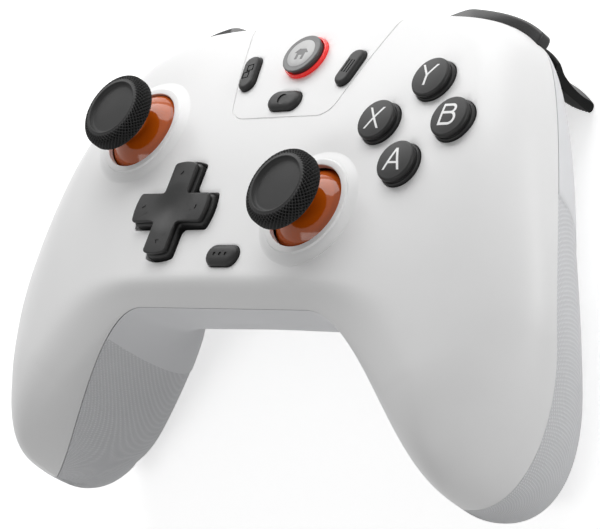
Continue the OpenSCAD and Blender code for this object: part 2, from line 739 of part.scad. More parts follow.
module stick_module(s) color("darkslategray") seat() translate([s.x, s.y, board_z]) difference() {
    union() {
        translate([-module_half, -module_half, 0]) cube([2 * module_half, 2 * module_half, module_floor]);
        translate([-gimbal_out, -gimbal_out, 0])
            cube([2 * gimbal_out, 2 * gimbal_out, stick_lift + gimbal_up]);
    }
    translate([gimbal_wall - gimbal_out, gimbal_wall - gimbal_out, module_floor])
        cube([2 * (gimbal_out - gimbal_wall), 2 * (gimbal_out - gimbal_wall), big]);
    translate([0, 0, stick_lift]) rod_x(yoke_pin_r + pin_clear, -big, big);
}
module left_stick_ring() stick_ring(sticks[0]);
module right_stick_ring() stick_ring(sticks[1]);
module left_stick_cap() stick_cap(sticks[0]);
module right_stick_cap() stick_cap(sticks[1]);
module left_stick_stem() stick_stem(sticks[0]);
module right_stick_stem() stick_stem(sticks[1]);
module left_stick_shaft() stick_shaft(sticks[0]);
module right_stick_shaft() stick_shaft(sticks[1]);
module left_stick_yoke() stick_yoke(sticks[0]);
module right_stick_yoke() stick_yoke(sticks[1]);
module left_stick_module() stick_module(sticks[0]);
module right_stick_module() stick_module(sticks[1]);

// D-pad on its ball and post.
ball_r = 2;
hub_r = 3.2;
post_room = 0.6;
foot_r = 2;
foot_at = 7.8;
dpad_top_t = 1;
dpad_flange = 1.2;
dpad_reach = dpad_half + dpad_arm_w / 2 + 2 * (dpad_step + dpad_flange);
dpad_under = wall + dpad_reach * sin(dpad_tilt) + slide_clear;
module dpad() color("#2b2b2d") seat() translate([dpad_x, dpad_y, 0]) difference() {
    union() {
        translate([0, 0, dpad_proud - dpad_top_t]) linear_extrude(height = dpad_top_t)
            cross(dpad_half, dpad_arm_w);
        translate([0, 0, -dpad_under - flange_t])
            linear_extrude(height = dpad_under + flange_t + dpad_proud - dpad_top_t)
                cross(dpad_half + dpad_step, dpad_arm_w + 2 * dpad_step);
        translate([0, 0, -dpad_under - flange_t]) linear_extrude(height = flange_t)
            cross(dpad_half + dpad_step + dpad_flange, dpad_arm_w + 2 * (dpad_step + dpad_flange));
        for (a = [0 : 90 : 270]) rotate(a) translate([foot_at, 0, dome_top + press_gap])
            cylinder(r = foot_r, h = -dpad_under - dome_top - press_gap);
    }
    translate([0, 0, dpad_pivot_z]) sphere(r = ball_r + pin_clear);
    translate([0, 0, dpad_pivot_z - big]) cylinder(r = hub_r, h = big);
}
module dpad_pivot() color("gray") seat() translate([dpad_x, dpad_y, dpad_pivot_z]) sphere(r = ball_r);
module dpad_post() color("gray") seat() translate([dpad_x, dpad_y, 0]) difference() {
    translate([0, 0, board_z]) cylinder(r = ball_r + slide_clear, h = dpad_pivot_z - board_z - post_room);
    translate([0, 0, dpad_pivot_z]) sphere(r = ball_r + pin_clear);
}

// Face buttons over their rubber mat.
button_edge = 0.5;
button_flange = 6;
button_foot = 2.6;
flange_gap = 1;
module face_button(p) color("#2b2b2d") seat() translate([p.x, p.y, 0]) {
    top = face_z(p.x, p.y) + button_proud;
    under = face_z(p.x, p.y) - wall - flange_gap;
    translate([0, 0, under - flange_t]) cylinder(r = button_r, h = top - button_edge - under + flange_t);
    translate([0, 0, top - button_edge])
        cylinder(r1 = button_r, r2 = button_r - button_edge, h = button_edge);
    translate([0, 0, under - flange_t]) cylinder(r = button_flange, h = flange_t);
    translate([0, 0, dome_top + press_gap]) cylinder(r = button_foot, h = under - dome_top - press_gap);
}
module button_a() face_button(face_buttons[0]);
module button_b() face_button(face_buttons[1]);
module button_x() face_button(face_buttons[2]);
module button_y() face_button(face_buttons[3]);
mat_r = 3.6;
dome_base = 3.4;
dome_tip = 2.6;
mat_edge = 0.5;
module rubber_dome() {
    cylinder(r1 = dome_base, r2 = dome_tip, h = dome_h);
}
module face_button_membrane() color("lightgray") seat() {
    translate([0, 0, board_z]) linear_extrude(height = mat_t) {
        for (p = face_buttons) translate(p) circle(r = mat_r);
        translate(cluster) rotate(45) square(cluster_pitch * sqrt(2), center = true);
    }
    for (p = face_buttons) translate([p.x, p.y, board_z + mat_t]) rubber_dome();
}
module dpad_membrane() color("lightgray") seat() translate([dpad_x, dpad_y, board_z]) difference() {
    union() {
        linear_extrude(height = mat_t) cross(foot_at + dome_base + mat_edge, 2 * (dome_base + mat_edge));
        for (a = [0 : 90 : 270]) rotate(a) translate([foot_at, 0, mat_t])
            cylinder(r1 = dome_tip, r2 = foot_r, h = dome_h);
    }
    translate([0, 0, -over]) cylinder(r = ball_r + post_room, h = big);
}

// Small buttons, the home button and its light ring.
key_gap = 1.1;
key_flange = 0.9;
key_edge = 0.35;
key_foot = 1.5;
module small_key(x, y, l, w, turn) color("#2b2b2d") seat() translate([x, y, 0]) {
    top = face_z(x, y) + key_proud;
    under = face_z(x, y) - wall - key_gap;
    rotate(turn) {
        translate([0, 0, under - flange_t]) capsule(l, w, top - key_edge - under + flange_t);
        translate([0, 0, under - flange_t]) capsule(l, w, top - under + flange_t, -key_edge);
        translate([0, 0, under - flange_t]) capsule(l, w, flange_t, key_flange);
    }
    translate([0, 0, key_bottom]) cylinder(r = key_foot, h = under - key_bottom);
}
module view_button() small_key(-side_key_x, side_key_y, side_key_len, side_key_w, 90 + side_key_lean);
module menu_button() small_key(side_key_x, side_key_y, side_key_len, side_key_w, 90 - side_key_lean);
module share_button() small_key(0, share_y, mid_key_len, mid_key_w, 0);
module macro_button() small_key(0, macro_y, mid_key_len, mid_key_w, 0);
light_r = home_r + slide_clear + light_wall;
light_flange = 1.2;
light_under = 3.6;
home_under = 5;
module home_light_ring() color("#e03030") seat() at_face(0, home_y) difference() {
    union() {
        translate([0, 0, -light_under]) cylinder(r = light_r, h = light_under + light_proud);
        translate([0, 0, -light_under - flange_t]) cylinder(r = light_r + light_flange, h = flange_t);
    }
    translate([0, 0, -big / 2]) cylinder(r = home_r + slide_clear, h = big);
}
module home_button() color("#48484a") seat() at_face(0, home_y) {
    translate([0, 0, -home_under]) cylinder(r = home_r, h = home_under + home_proud - key_edge);
    translate([0, 0, home_proud - key_edge]) cylinder(r1 = home_r, r2 = home_r - key_edge, h = key_edge);
    translate([0, 0, -home_under - flange_t]) cylinder(r = home_r + light_flange, h = flange_t);
    translate([0, 0, key_bottom - face_z(0, home_y)])
        cylinder(r = key_foot, h = face_z(0, home_y) - home_under - key_bottom);
}
key_places = [[0, home_y], [-side_key_x, side_key_y], [side_key_x, side_key_y], [0, share_y], [0, macro_y]];
switch_half = 2.2;
module tact_switches() color("black") seat() for (p = key_places) translate([p.x, p.y, board_z]) {
    translate([-switch_half, -switch_half, 0]) cube([2 * switch_half, 2 * switch_half, switch_h]);
    cylinder(r = key_foot - slide_clear, h = switch_h + switch_cap);
}

// Bumpers and triggers.
module bumper(side) color("#141416") seat() on_side(side) {
    translate([0, 0, -bumper_top - bumper_h]) linear_extrude(height = bumper_h) polygon(bumper_outline(0));
    translate([bumper_hinge.x, bumper_hinge.y, -bumper_top - bumper_h]) cylinder(r = hinge_r, h = bumper_h);
}
module trigger(side) color("#141416") seat() on_side(side) difference() {
    union() {
        skin_of(trigger_rings);
        translate([0, trigger_y, -trigger_z]) rod_x(trigger_hub_r, hub_from, hub_to);
    }
    translate([0, trigger_y, -trigger_z]) {
        rod_x(trigger_pin_r + pin_clear, 0, big);
        rod_x(trigger_pin_r + 2 * spring_gap + spring_wall, 0, hub_from + spring_len + spring_gap);
        rod_x(trigger_root + 2 * clear, hub_to, big);
    }
}
module trigger_pin(side) color("silver") seat() on_side(side) translate([0, trigger_y, -trigger_z])
    rod_x(trigger_pin_r, ear_in, ear_out + ear_t);
module trigger_spring(side) color("silver") seat() on_side(side)
    translate([0, trigger_y, -trigger_z]) difference() {
        rod_x(trigger_pin_r + spring_gap + spring_wall, ear_in + ear_t, hub_from + spring_len);
        rod_x(trigger_pin_r + spring_gap, 0, big);
    }
module trigger_bracket(side) color("dimgray") seat() on_side(side) difference() {
    union() {
        translate([ear_in, trigger_y - bracket_w / 2, -bracket_top - bracket_t])
            cube([ear_out + ear_t - ear_in, bracket_w, bracket_t]);
        for (x = [ear_in, ear_out]) {
            translate([x, trigger_y - bracket_w / 2, -trigger_z])
                cube([ear_t, bracket_w, trigger_z - bracket_top]);
            translate([0, trigger_y, -trigger_z]) rod_x(bracket_w / 2, x, x + ear_t);
        }
    }
    translate([0, trigger_y, -trigger_z]) rod_x(trigger_pin_r, 0, big);
    for (x = bracket_pegs) translate([x, trigger_y, -big]) cylinder(r = peg_r + pin_clear, h = big);
}
module left_bumper() bumper(-1);
module right_bumper() bumper(1);
module left_trigger() trigger(-1);
module right_trigger() trigger(1);
module left_trigger_pin() trigger_pin(-1);
module right_trigger_pin() trigger_pin(1);
module left_trigger_spring() trigger_spring(-1);
module right_trigger_spring() trigger_spring(1);
module left_trigger_bracket() trigger_bracket(-1);
module right_trigger_bracket() trigger_bracket(1);

// Board, battery, motors, socket and screws.
board_half = 57.5;
board_low_half = 33;
bracket_gap = 1.9;
board_high_half = ear_in - bracket_gap;
board_step_low = -6;
board_low = -21;
board_step_high = 25.3;
board_high = 31.5;
board_tongue = [6, 38];
module main_board() color("darkgreen") seat() translate([0, 0, board_z - board_t]) difference() {
    linear_extrude(height = board_t) {
        translate([-board_half, board_step_low]) square([2 * board_half, board_step_high - board_step_low]);
        translate([-board_low_half, board_low])
            square([2 * board_low_half, board_step_low - board_low + over]);
        translate([-board_high_half, board_step_high - over])
            square([2 * board_high_half, board_high - board_step_high + over]);
        translate([-board_tongue.x, board_high - over])
            square([2 * board_tongue.x, board_tongue.y - board_high + over]);
    }
    for (p = board_posts) translate([p.x, p.y, -over])
        cylinder(r = board_screw_r + pin_clear, h = big);
}
module board_screws() color("silver") seat() for (p = board_posts) translate([p.x, p.y, board_z - board_t]) {
    cylinder(r = board_screw_r, h = board_t + board_screw_len - screw_spare);
    translate([0, 0, -board_head_h]) cylinder(r = 2 * board_screw_r, h = board_head_h);
}
module battery() color("slategray") seat()
    translate([battery_at.x, battery_at.y, -battery_top - battery_t / 2])
        cube([battery_len, battery_w, battery_t], center = true);
module rumble_motor(side) color("silver") seat() on_side(side) translate(motor_at) difference() {
    rod_x(motor_r, 0, motor_len);
    rod_x(motor_shaft_r + pin_clear, -over, motor_shaft_in + over);
}
module rumble_weight(side, r) color("dimgray") seat() on_side(side) translate(motor_at) {
    rod_x(motor_shaft_r, -weight_gap - weight_t, motor_shaft_in);
    intersection() {
        rod_x(r, -weight_gap - weight_t, -weight_gap);
        translate([-big / 2, -big / 2, -big]) cube([big, big, big + motor_shaft_r / 2]);
    }
}
module left_rumble_motor() rumble_motor(-1);
module right_rumble_motor() rumble_motor(1);
module left_rumble_weight() rumble_weight(-1, left_weight_r);
module right_rumble_weight() rumble_weight(1, right_weight_r);
usb_tongue = [6.6, 5, 0.7];
module usb_port() color("silver") seat() translate([0, usb_mouth, board_z + usb_h / 2]) {
    rotate([90, 0, 0]) difference() {
        capsule(usb_w, usb_h, usb_len);
        translate([0, 0, -over]) capsule(usb_w - 2 * usb_wall, usb_h - 2 * usb_wall, usb_len);
    }
    translate([-usb_tongue.x / 2, -usb_len + usb_wall, -usb_tongue.z / 2]) cube(usb_tongue);
}
module case_screws() color("silver") seat() for (p = case_posts) translate([p[0].x, p[0].y, -p[2]]) {
    cylinder(r = case_screw_r, h = p[2] - p[1] + case_grip - screw_spare);
    translate([0, 0, -case_head_h]) cylinder(r = case_head_r, h = case_head_h);
}

front_shell();
rear_shell();
left_stick_ring();
right_stick_ring();
left_stick_cap();
right_stick_cap();
left_stick_stem();
right_stick_stem();
left_stick_shaft();
right_stick_shaft();
left_stick_yoke();
right_stick_yoke();
left_stick_module();
right_stick_module();
dpad();
dpad_pivot();
dpad_post();
button_a();
button_b();
button_x();
button_y();
view_button();
menu_button();
share_button();
macro_button();
home_button();
home_light_ring();
left_bumper();
right_bumper();
left_trigger();
right_trigger();
left_trigger_pin();
right_trigger_pin();
left_trigger_spring();
right_trigger_spring();
left_trigger_bracket();
right_trigger_bracket();
face_button_membrane();
dpad_membrane();
main_board();
tact_switches();
battery();
left_rumble_motor();
right_rumble_motor();
left_rumble_weight();
right_rumble_weight();
usb_port();
case_screws();
board_screws();
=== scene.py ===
# %% [markdown]
# # Dressing a gamepad
# The construction of this controller is finished before Blender opens. Every shell, button, stick and
# trigger already sits at its real size on the body that carries it. This lesson gives those pieces
# their final surfaces and finishes, without moving any of them. Sizes are in millimetres in the face
# frame: x to the right, y towards the triggers, z out of the face.

# %% Open the frame
import json
import math

import bmesh
import bpy
import numpy as np
from mathutils import Matrix, Vector
from mathutils.bvhtree import BVHTree


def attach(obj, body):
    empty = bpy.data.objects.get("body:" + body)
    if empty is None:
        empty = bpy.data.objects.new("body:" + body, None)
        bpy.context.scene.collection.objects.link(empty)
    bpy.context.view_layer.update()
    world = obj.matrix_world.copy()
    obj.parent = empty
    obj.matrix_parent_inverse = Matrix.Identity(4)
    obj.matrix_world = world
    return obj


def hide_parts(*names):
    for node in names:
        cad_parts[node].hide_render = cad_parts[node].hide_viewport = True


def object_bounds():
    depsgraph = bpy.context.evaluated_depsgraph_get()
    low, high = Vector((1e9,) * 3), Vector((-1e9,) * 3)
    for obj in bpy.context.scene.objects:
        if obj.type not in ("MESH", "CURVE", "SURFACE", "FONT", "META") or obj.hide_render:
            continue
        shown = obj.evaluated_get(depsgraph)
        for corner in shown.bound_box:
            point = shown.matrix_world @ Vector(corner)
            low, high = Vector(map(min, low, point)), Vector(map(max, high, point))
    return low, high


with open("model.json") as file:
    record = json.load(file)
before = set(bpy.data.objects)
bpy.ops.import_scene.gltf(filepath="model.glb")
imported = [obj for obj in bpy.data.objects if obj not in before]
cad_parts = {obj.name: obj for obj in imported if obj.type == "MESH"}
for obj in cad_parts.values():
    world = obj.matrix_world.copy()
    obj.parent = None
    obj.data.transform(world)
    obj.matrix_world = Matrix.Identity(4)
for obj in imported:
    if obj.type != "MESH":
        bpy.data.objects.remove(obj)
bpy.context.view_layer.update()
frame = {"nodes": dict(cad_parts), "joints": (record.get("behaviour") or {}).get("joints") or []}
scene = bpy.context.scene
scene.view_settings.view_transform = "Standard"

# %% [markdown]
# ## The face frame
# The pad lies on a table, so its face leans. It could be drawn leaning, but it is easier to draw it
# flat and lean it afterwards. The buttons press straight into the face, so one button's axis gives the
# lean, and the D-pad's pivot gives the place. The sticks are then found from their own joints.

# %% Work out the face frame from the joints
MM = 0.001
DPAD, DPAD_PIVOT = (-20, -7.7), -4.5
STICK_Z = -8.4
joints = {joint["name"]: joint for joint in frame["joints"]}
face_up = -Vector(joints["button_a_press"]["axis"])
face_right = Vector((1, 0, 0))
FACE_TURN = Matrix((face_right, face_up.cross(face_right), face_up)).transposed()
FACE_MOVE = Vector(joints["dpad_up_down"]["pos_m"]) - FACE_TURN @ Vector((*DPAD, DPAD_PIVOT)) * MM


def placed(points):
    """Points of the face frame, in millimetres, as points of the row frame, in metres."""
    return np.asarray(points, float) * MM @ np.array(FACE_TURN).T + np.array(FACE_MOVE)


def stick_place(side):
    """Where a stick stands on the face, in millimetres."""
    pivot = FACE_TURN.transposed() @ (Vector(joints[f"{side}_stick_up_down"]["pos_m"]) - FACE_MOVE)
    return round(pivot.x / MM, 2), round(pivot.y / MM, 2)


STICKS = {side: stick_place(side) for side in ("left", "right")}
print("face leans", round(math.degrees(face_up.angle(Vector((0, 0, 1)))), 2), "degrees, sticks at", STICKS)

# %% [markdown]
# ## The camera
# The photograph was taken from the right, from below the pad and from well above its face, with a long
# lens. The camera comes first.

# %% Place the camera
PHOTO_WIDTH = 600
FOCAL_PIXELS = 2971.35
CAMERA_AT = (451.453, -215.285, 376.333)
CAMERA_TURN = Vector((-0.453593, -0.774198, -0.191156))
camera_data = bpy.data.cameras.new("photo_camera")
camera_data.sensor_width = 36
camera_data.lens = camera_data.sensor_width * FOCAL_PIXELS / PHOTO_WIDTH
camera = bpy.data.objects.new("photo_camera", camera_data)
scene.collection.objects.link(camera)
to_camera = Matrix.Rotation(CAMERA_TURN.length, 3, CAMERA_TURN.normalized())
camera_turn = FACE_TURN @ to_camera.transposed()
camera.matrix_world = Matrix.Translation(placed([CAMERA_AT])[0]) @ camera_turn.to_4x4()
scene.camera = camera
print("camera at", [round(x, 3) for x in camera.location], "lens", round(camera_data.lens, 1))

# %% [markdown]
# ## Two ways to draw a solid
# Nearly every piece here is either turned, like a stick cap, or a stack of outlines, like a key. Both
# are rings of points joined by faces, so one function makes the faces. Holes are then cut by Blender's
# Boolean modifier, whose manifold solver is exact and quick on closed meshes.

# %% Rings into solids
def loft(rings, ends=None, loop=False):
    """Points and faces through rings of points. Ends lists the faces that close the first and last ring."""
    rings = np.asarray(rings, float)
    count, around = rings.shape[:2]
    index = np.arange(count * around).reshape(count, around)
    near, far = (index, np.roll(index, -1, 0)) if loop else (index[:-1], index[1:])
    quads = np.stack([near, np.roll(near, -1, 1), np.roll(far, -1, 1), far], -1)
    faces = quads.reshape(-1, 4).tolist()
    if not loop:
        for ring in (index[0], index[-1]):
            faces += [[int(ring[k]) for k in face] for face in ends or [range(around)]]
    return rings.reshape(-1, 3), faces


def turned(profile, centre, around):
    """Rings of points round an axis, one for each (radius, height) pair of a profile."""
    angle = np.linspace(0, 2 * math.pi, around, endpoint=False)
    profile = np.asarray(profile, float)
    radius, height = profile[:, :1], profile[:, 1:]
    x = centre[0] + radius * np.cos(angle)
    y = centre[1] + radius * np.sin(angle)
    z = centre[2] + height + 0 * angle
    return np.stack([x, y, z], -1)


def lathe(profile, centre, around=96, loop=False):
    """A turned solid, from a profile that runs from axis to axis or is a closed loop."""
    return loft(turned(profile, centre, around), loop=loop)


def stack(outline, levels, place=(0, 0, 0), turn=0):
    """A solid through one outline at several levels: each level is (growth, height)."""
    c, s = math.cos(turn), math.sin(turn)
    rings = []
    for grow, height in levels:
        x, y = outline(grow).T
        rings.append(np.stack([c * x - s * y, s * x + c * y, 0 * x + height], -1) + place)
    return loft(rings)


def arc(centre, radius, start, stop, steps):
    """Points on an arc, with angles in degrees."""
    angle = np.radians(np.linspace(start, stop, steps + 1))
    return [(centre[0] + radius * math.cos(a), centre[1] + radius * math.sin(a)) for a in angle]


def solid(name, shape, kinds=None, ways=None):
    """A closed Blender mesh in the face frame. Each face may have a kind of finish, each point a way."""
    points, faces = shape
    mesh = bpy.data.meshes.new(name)
    mesh.from_pydata(placed(points).tolist(), [], faces)
    if kinds is not None:
        mesh.polygons.foreach_set("material_index", kinds)
        way = mesh.attributes.new("grip_way", "FLOAT_VECTOR", "POINT")
        way.data.foreach_set("vector", ways.reshape(-1))
    work = bmesh.new()
    work.from_mesh(mesh)
    bmesh.ops.remove_doubles(work, verts=work.verts, dist=1e-7)
    bmesh.ops.recalc_face_normals(work, faces=work.faces)
    work.to_mesh(mesh)
    work.free()
    made = bpy.data.objects.new(name, mesh)
    scene.collection.objects.link(made)
    return made


def combine(target, others, operation):
    """Cuts the others out of the target, or joins them to it, and removes them."""
    for other in others:
        modifier = target.modifiers.new(operation.lower(), "BOOLEAN")
        modifier.operation = operation
        modifier.solver = "MANIFOLD"
        modifier.object = other
    graph = bpy.context.evaluated_depsgraph_get()
    mesh = bpy.data.meshes.new_from_object(target.evaluated_get(graph))
    target.modifiers.clear()
    target.data = mesh
    for other in others:
        bpy.data.objects.remove(other)
    return target


def cut(target, shapes):
    """Cuts shapes, given as points and faces, out of a solid."""
    return combine(target, [solid("cutter", shape) for shape in shapes], "DIFFERENCE")


def join(target, shapes):
    """Joins shapes, given as points and faces, to a solid."""
    return combine(target, [solid("addition", shape) for shape in shapes], "UNION")


# %% [markdown]
# ## Finishes
# A moulded part is never one flat colour: its grain breaks up the light, and its gloss drifts a little
# from place to place. Both come from one node group, which every finish places with its own sizes. The
# group gives out a fine height and a slow mottle, and the material decides what they do.

# %% A node group for moulded grain
def new_group(name, inputs, outputs):
    """An empty shader group with named float sockets."""
    group = bpy.data.node_groups.new(name, "ShaderNodeTree")
    for label, value in inputs.items():
        socket = group.interface.new_socket(label, in_out="INPUT", socket_type="NodeSocketFloat")
        socket.default_value = value
    for label in outputs:
        group.interface.new_socket(label, in_out="OUTPUT", socket_type="NodeSocketFloat")
    return group, group.nodes.new("NodeGroupInput"), group.nodes.new("NodeGroupOutput")


def math_node(tree, operation, first, second=None):
    """A Math node fed by sockets or plain numbers; gives its output socket."""
    node = tree.nodes.new("ShaderNodeMath")
    node.operation = operation
    for socket, value in zip(node.inputs, (first, second)):
        if isinstance(value, bpy.types.NodeSocket):
            tree.links.new(value, socket)
        elif value is not None:
            socket.default_value = value
    return node.outputs[0]


moulded_grain, grain_in, grain_out = new_group(
    "moulded_grain", {"Grain Scale": 4000, "Mottle Scale": 60}, ["Height", "Mottle"])
place_node = moulded_grain.nodes.new("ShaderNodeTexCoord")
for label, scale, detail in (("Height", "Grain Scale", 2), ("Mottle", "Mottle Scale", 3)):
    noise = moulded_grain.nodes.new("ShaderNodeTexNoise")
    noise.inputs["Detail"].default_value = detail
    moulded_grain.links.new(place_node.outputs["Object"], noise.inputs["Vector"])
    moulded_grain.links.new(grain_in.outputs[scale], noise.inputs["Scale"])
    moulded_grain.links.new(noise.outputs["Fac"], grain_out.inputs[label])
print("group:", moulded_grain.name)

# %% [markdown]
# ## One function for every finish
# A finish mixes two near tones by the mottle, lets the roughness drift by it, and bumps the surface by
# the grain. What is the same all over, such as a specular level, is set on the shader's own socket.

# %% The finish function
FINISH = {}
MOTTLE_LOW, MOTTLE_HIGH = 0.3, 0.7


def finish(name, tones, gloss, grain_mm, bump_mm, mottle_mm=15, **sockets):
    """A moulded material: two tones, two roughness values, a grain and its height."""
    material = bpy.data.materials.new(name)
    material.use_nodes = True
    tree = material.node_tree
    shader = tree.nodes["Principled BSDF"]
    grain = tree.nodes.new("ShaderNodeGroup")
    grain.name = "grain"
    grain.node_tree = moulded_grain
    grain.inputs["Grain Scale"].default_value = 1 / (grain_mm * MM)
    grain.inputs["Mottle Scale"].default_value = 1 / (mottle_mm * MM)
    tone = tree.nodes.new("ShaderNodeMix")
    tone.data_type = "RGBA"
    tone.inputs[6].default_value = (*tones[0], 1)
    tone.inputs[7].default_value = (*tones[1], 1)
    tree.links.new(grain.outputs["Mottle"], tone.inputs[0])
    tree.links.new(tone.outputs[2], shader.inputs["Base Color"])
    drift = tree.nodes.new("ShaderNodeMapRange")
    drift.inputs["From Min"].default_value = MOTTLE_LOW
    drift.inputs["From Max"].default_value = MOTTLE_HIGH
    drift.inputs["To Min"].default_value = gloss[0]
    drift.inputs["To Max"].default_value = gloss[1]
    tree.links.new(grain.outputs["Mottle"], drift.inputs["Value"])
    tree.links.new(drift.outputs["Result"], shader.inputs["Roughness"])
    bump = tree.nodes.new("ShaderNodeBump")
    bump.name = "bump"
    bump.inputs["Distance"].default_value = bump_mm * MM
    tree.links.new(grain.outputs["Height"], bump.inputs["Height"])
    tree.links.new(bump.outputs["Normal"], shader.inputs["Normal"])
    for label, value in sockets.items():
        shader.inputs[label.replace("_", " ").title().replace("Ior", "IOR")].default_value = value
    FINISH[name] = material
    return material


# %% [markdown]
# ## Studs for the fingers
# The grips of the rear shell carry rows of tiny studs. Thousands of real studs would be slow to draw, so
# a second group lays out a lattice from two waves that cross; the finish raises it with a bump and paints
# shade into the valleys between the studs. The waves run along and across the grip, so each point of the
# shell will carry both distances.

# %% A node group for the grip studs
grip_lattice, lattice_in, lattice_out = new_group("grip_lattice", {"Stud Pitch": 1}, ["Stud"])
way_node = grip_lattice.nodes.new("ShaderNodeAttribute")
way_node.attribute_name = "grip_way"
split_way = grip_lattice.nodes.new("ShaderNodeSeparateXYZ")
grip_lattice.links.new(way_node.outputs["Vector"], split_way.inputs["Vector"])
waves = []
for axis in ("X", "Y"):
    turns = math_node(grip_lattice, "DIVIDE", split_way.outputs[axis], lattice_in.outputs["Stud Pitch"])
    angle = math_node(grip_lattice, "MULTIPLY", turns, 2 * math.pi)
    waves.append(math_node(grip_lattice, "COSINE", angle))
stud = math_node(grip_lattice, "MAXIMUM", math_node(grip_lattice, "MULTIPLY", *waves), 0)
grip_lattice.links.new(stud, lattice_out.inputs["Stud"])


def add_studs(material, pitch_mm, height_mm, painted_valley_shade):
    """Raises a lattice of studs on a finish by a bump, and paints shade into the valleys between them."""
    tree = material.node_tree
    shader = tree.nodes["Principled BSDF"]
    studs = tree.nodes.new("ShaderNodeGroup")
    studs.node_tree = grip_lattice
    studs.inputs["Stud Pitch"].default_value = pitch_mm
    raised = tree.nodes.new("ShaderNodeBump")
    raised.inputs["Distance"].default_value = height_mm * MM
    tree.links.new(studs.outputs["Stud"], raised.inputs["Height"])
    tree.links.new(tree.nodes["bump"].outputs["Normal"], raised.inputs["Normal"])
    tree.links.new(raised.outputs["Normal"], shader.inputs["Normal"])
    # Painted shade: the base colour is drawn towards a darker tone in the valleys between the studs.
    shade = tree.nodes.new("ShaderNodeMix")
    shade.data_type = "RGBA"
    shade.inputs[6].default_value = (*painted_valley_shade, 1)
    tree.links.new(studs.outputs["Stud"], shade.inputs[0])
    tree.links.new(shader.inputs["Base Color"].links[0].from_socket, shade.inputs[7])
    tree.links.new(shade.outputs[2], shader.inputs["Base Color"])


def grey(level):
    """A neutral tone."""
    return (level, level, level)


# %% The finishes
finish("shell_white", (grey(0.79), grey(0.83)), (0.38, 0.46), 0.35, 0.006)
finish("shell_grey", ((0.73, 0.735, 0.75), (0.77, 0.775, 0.79)), (0.5, 0.6), 0.3, 0.012)
finish("ring_white", (grey(0.78), grey(0.82)), (0.36, 0.44), 0.35, 0.005)
finish("cap_rubber", (grey(0.016), grey(0.022)), (0.5, 0.62), 0.15, 0.02, specular_ior_level=0.25)
finish("stem_orange", ((0.44, 0.076, 0.002), (0.48, 0.084, 0.003)), (0.07, 0.11), 1, 0.001,
       specular_ior_level=0.4)
finish("control_charcoal", (grey(0.018), grey(0.023)), (0.36, 0.46), 0.2, 0.008, specular_ior_level=0.22)
finish("legend_white", (grey(0.8), grey(0.84)), (0.4, 0.5), 0.3, 0.002)
finish("home_grey", (grey(0.06), grey(0.07)), (0.36, 0.44), 0.3, 0.004)
finish("emblem_pale", (grey(0.42), grey(0.47)), (0.35, 0.45), 0.3, 0.002)
finish("light_red", ((0.7, 0.022, 0.02), (0.76, 0.03, 0.025)), (0.2, 0.28), 1, 0.002,
       emission_strength=0.25, emission_color=(0.9, 0.02, 0.02, 1))
finish("shoulder_black", (grey(0.008), grey(0.011)), (0.12, 0.2), 0.4, 0.002, specular_ior_level=0.4)
finish("trigger_black", (grey(0.004), grey(0.006)), (0.3, 0.4), 0.4, 0.002, specular_ior_level=0.06)
finish("steel", (grey(0.5), grey(0.6)), (0.25, 0.4), 0.4, 0.006, metallic=1)
finish("inner_plastic", (grey(0.05), grey(0.065)), (0.5, 0.6), 0.3, 0.008)
finish("mat_rubber", (grey(0.4), grey(0.46)), (0.6, 0.75), 0.3, 0.01)
finish("board_green", ((0.012, 0.1, 0.04), (0.02, 0.13, 0.05)), (0.25, 0.4), 0.6, 0.01)
finish("battery_wrap", (grey(0.3), grey(0.36)), (0.3, 0.45), 1.5, 0.02, metallic=0.8)
finish("weight_metal", (grey(0.16), grey(0.22)), (0.45, 0.6), 0.3, 0.02, metallic=1)
STUD_TONES = ((0.75, 0.755, 0.77), (0.79, 0.795, 0.81))
# The last value is a painted shade colour for the valleys between the studs.
STUD_PITCH, STUD_H, STUD_VALLEY_SHADE = 1.06, 0.07, (0.61, 0.615, 0.63)
studs = finish("grip_studs", STUD_TONES, (0.5, 0.6), 0.3, 0.008)
add_studs(studs, STUD_PITCH, STUD_H, STUD_VALLEY_SHADE)
print("finishes:", ", ".join(FINISH))


# %% [markdown]
# ## Putting a finished piece on its body
# A finished piece stands in for a construction node, so the node is hidden and the piece rides on the
# node's body. Faces that meet at a wide angle keep a crisp edge and all others shade as one surface.

# %% Dress a piece
CRISP = math.radians(36)


def dress(piece, finish_name, body, node=None):
    """Gives a piece its finish and shading, and puts it on its body."""
    piece.data.materials.clear()
    piece.data.materials.append(FINISH[finish_name])
    piece.data.shade_smooth()
    piece.data.set_sharp_from_angle(angle=CRISP)
    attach(piece, body)
    if node:
        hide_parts(node)
    print(piece.name, len(piece.data.polygons), "faces on", body)


# %% [markdown]
# ## The seam between the shells
# Front and rear shell meet along one seam that runs from the top edge, over the shoulder and down the
# side to the grip tip, and back up the inside of the grip. Both skins hang on that seam, so it is drawn
# once, as Bezier curves, and u runs along it from the middle of the pad to the grip tip.

# %% Seam curves
BODY_HALF = 77.5
TOP_Y, BOTTOM_Y, BOTTOM_HALF = 42.5, 28.4, 24.9
SHOULDER_SLOPE = math.radians(38.7)
SEAM_TOP, SEAM_BOTTOM, SEAM_GAP = 8.3, 4.5, 0.3
SHOULDER_IN, SHOULDER_OUT, SIDE_IN, SIDE_OUT = 10.7, 10.1, 16, 14.7
top_point = np.array([0, TOP_Y, -SEAM_TOP])
shoulder = np.array([55.3, 36.4, -14])
shoulder_dir = np.array([math.cos(SHOULDER_SLOPE), -math.sin(SHOULDER_SLOPE), -0.08])
side_point = np.array([BODY_HALF, -26, -21.8])
side_dir = np.array([0, -1, -0.56])
tip = np.array([61.5, -59.4, -28.6])
corner = np.array([BOTTOM_HALF, -BOTTOM_Y, -SEAM_BOTTOM])
CORNER_HANDLE = 15
TOP_CURVE = (top_point, top_point + (39.3, 0, 0), shoulder - SHOULDER_IN * shoulder_dir, shoulder)
SIDE_CURVE = (shoulder, shoulder + SHOULDER_OUT * shoulder_dir, side_point - SIDE_IN * side_dir, side_point)
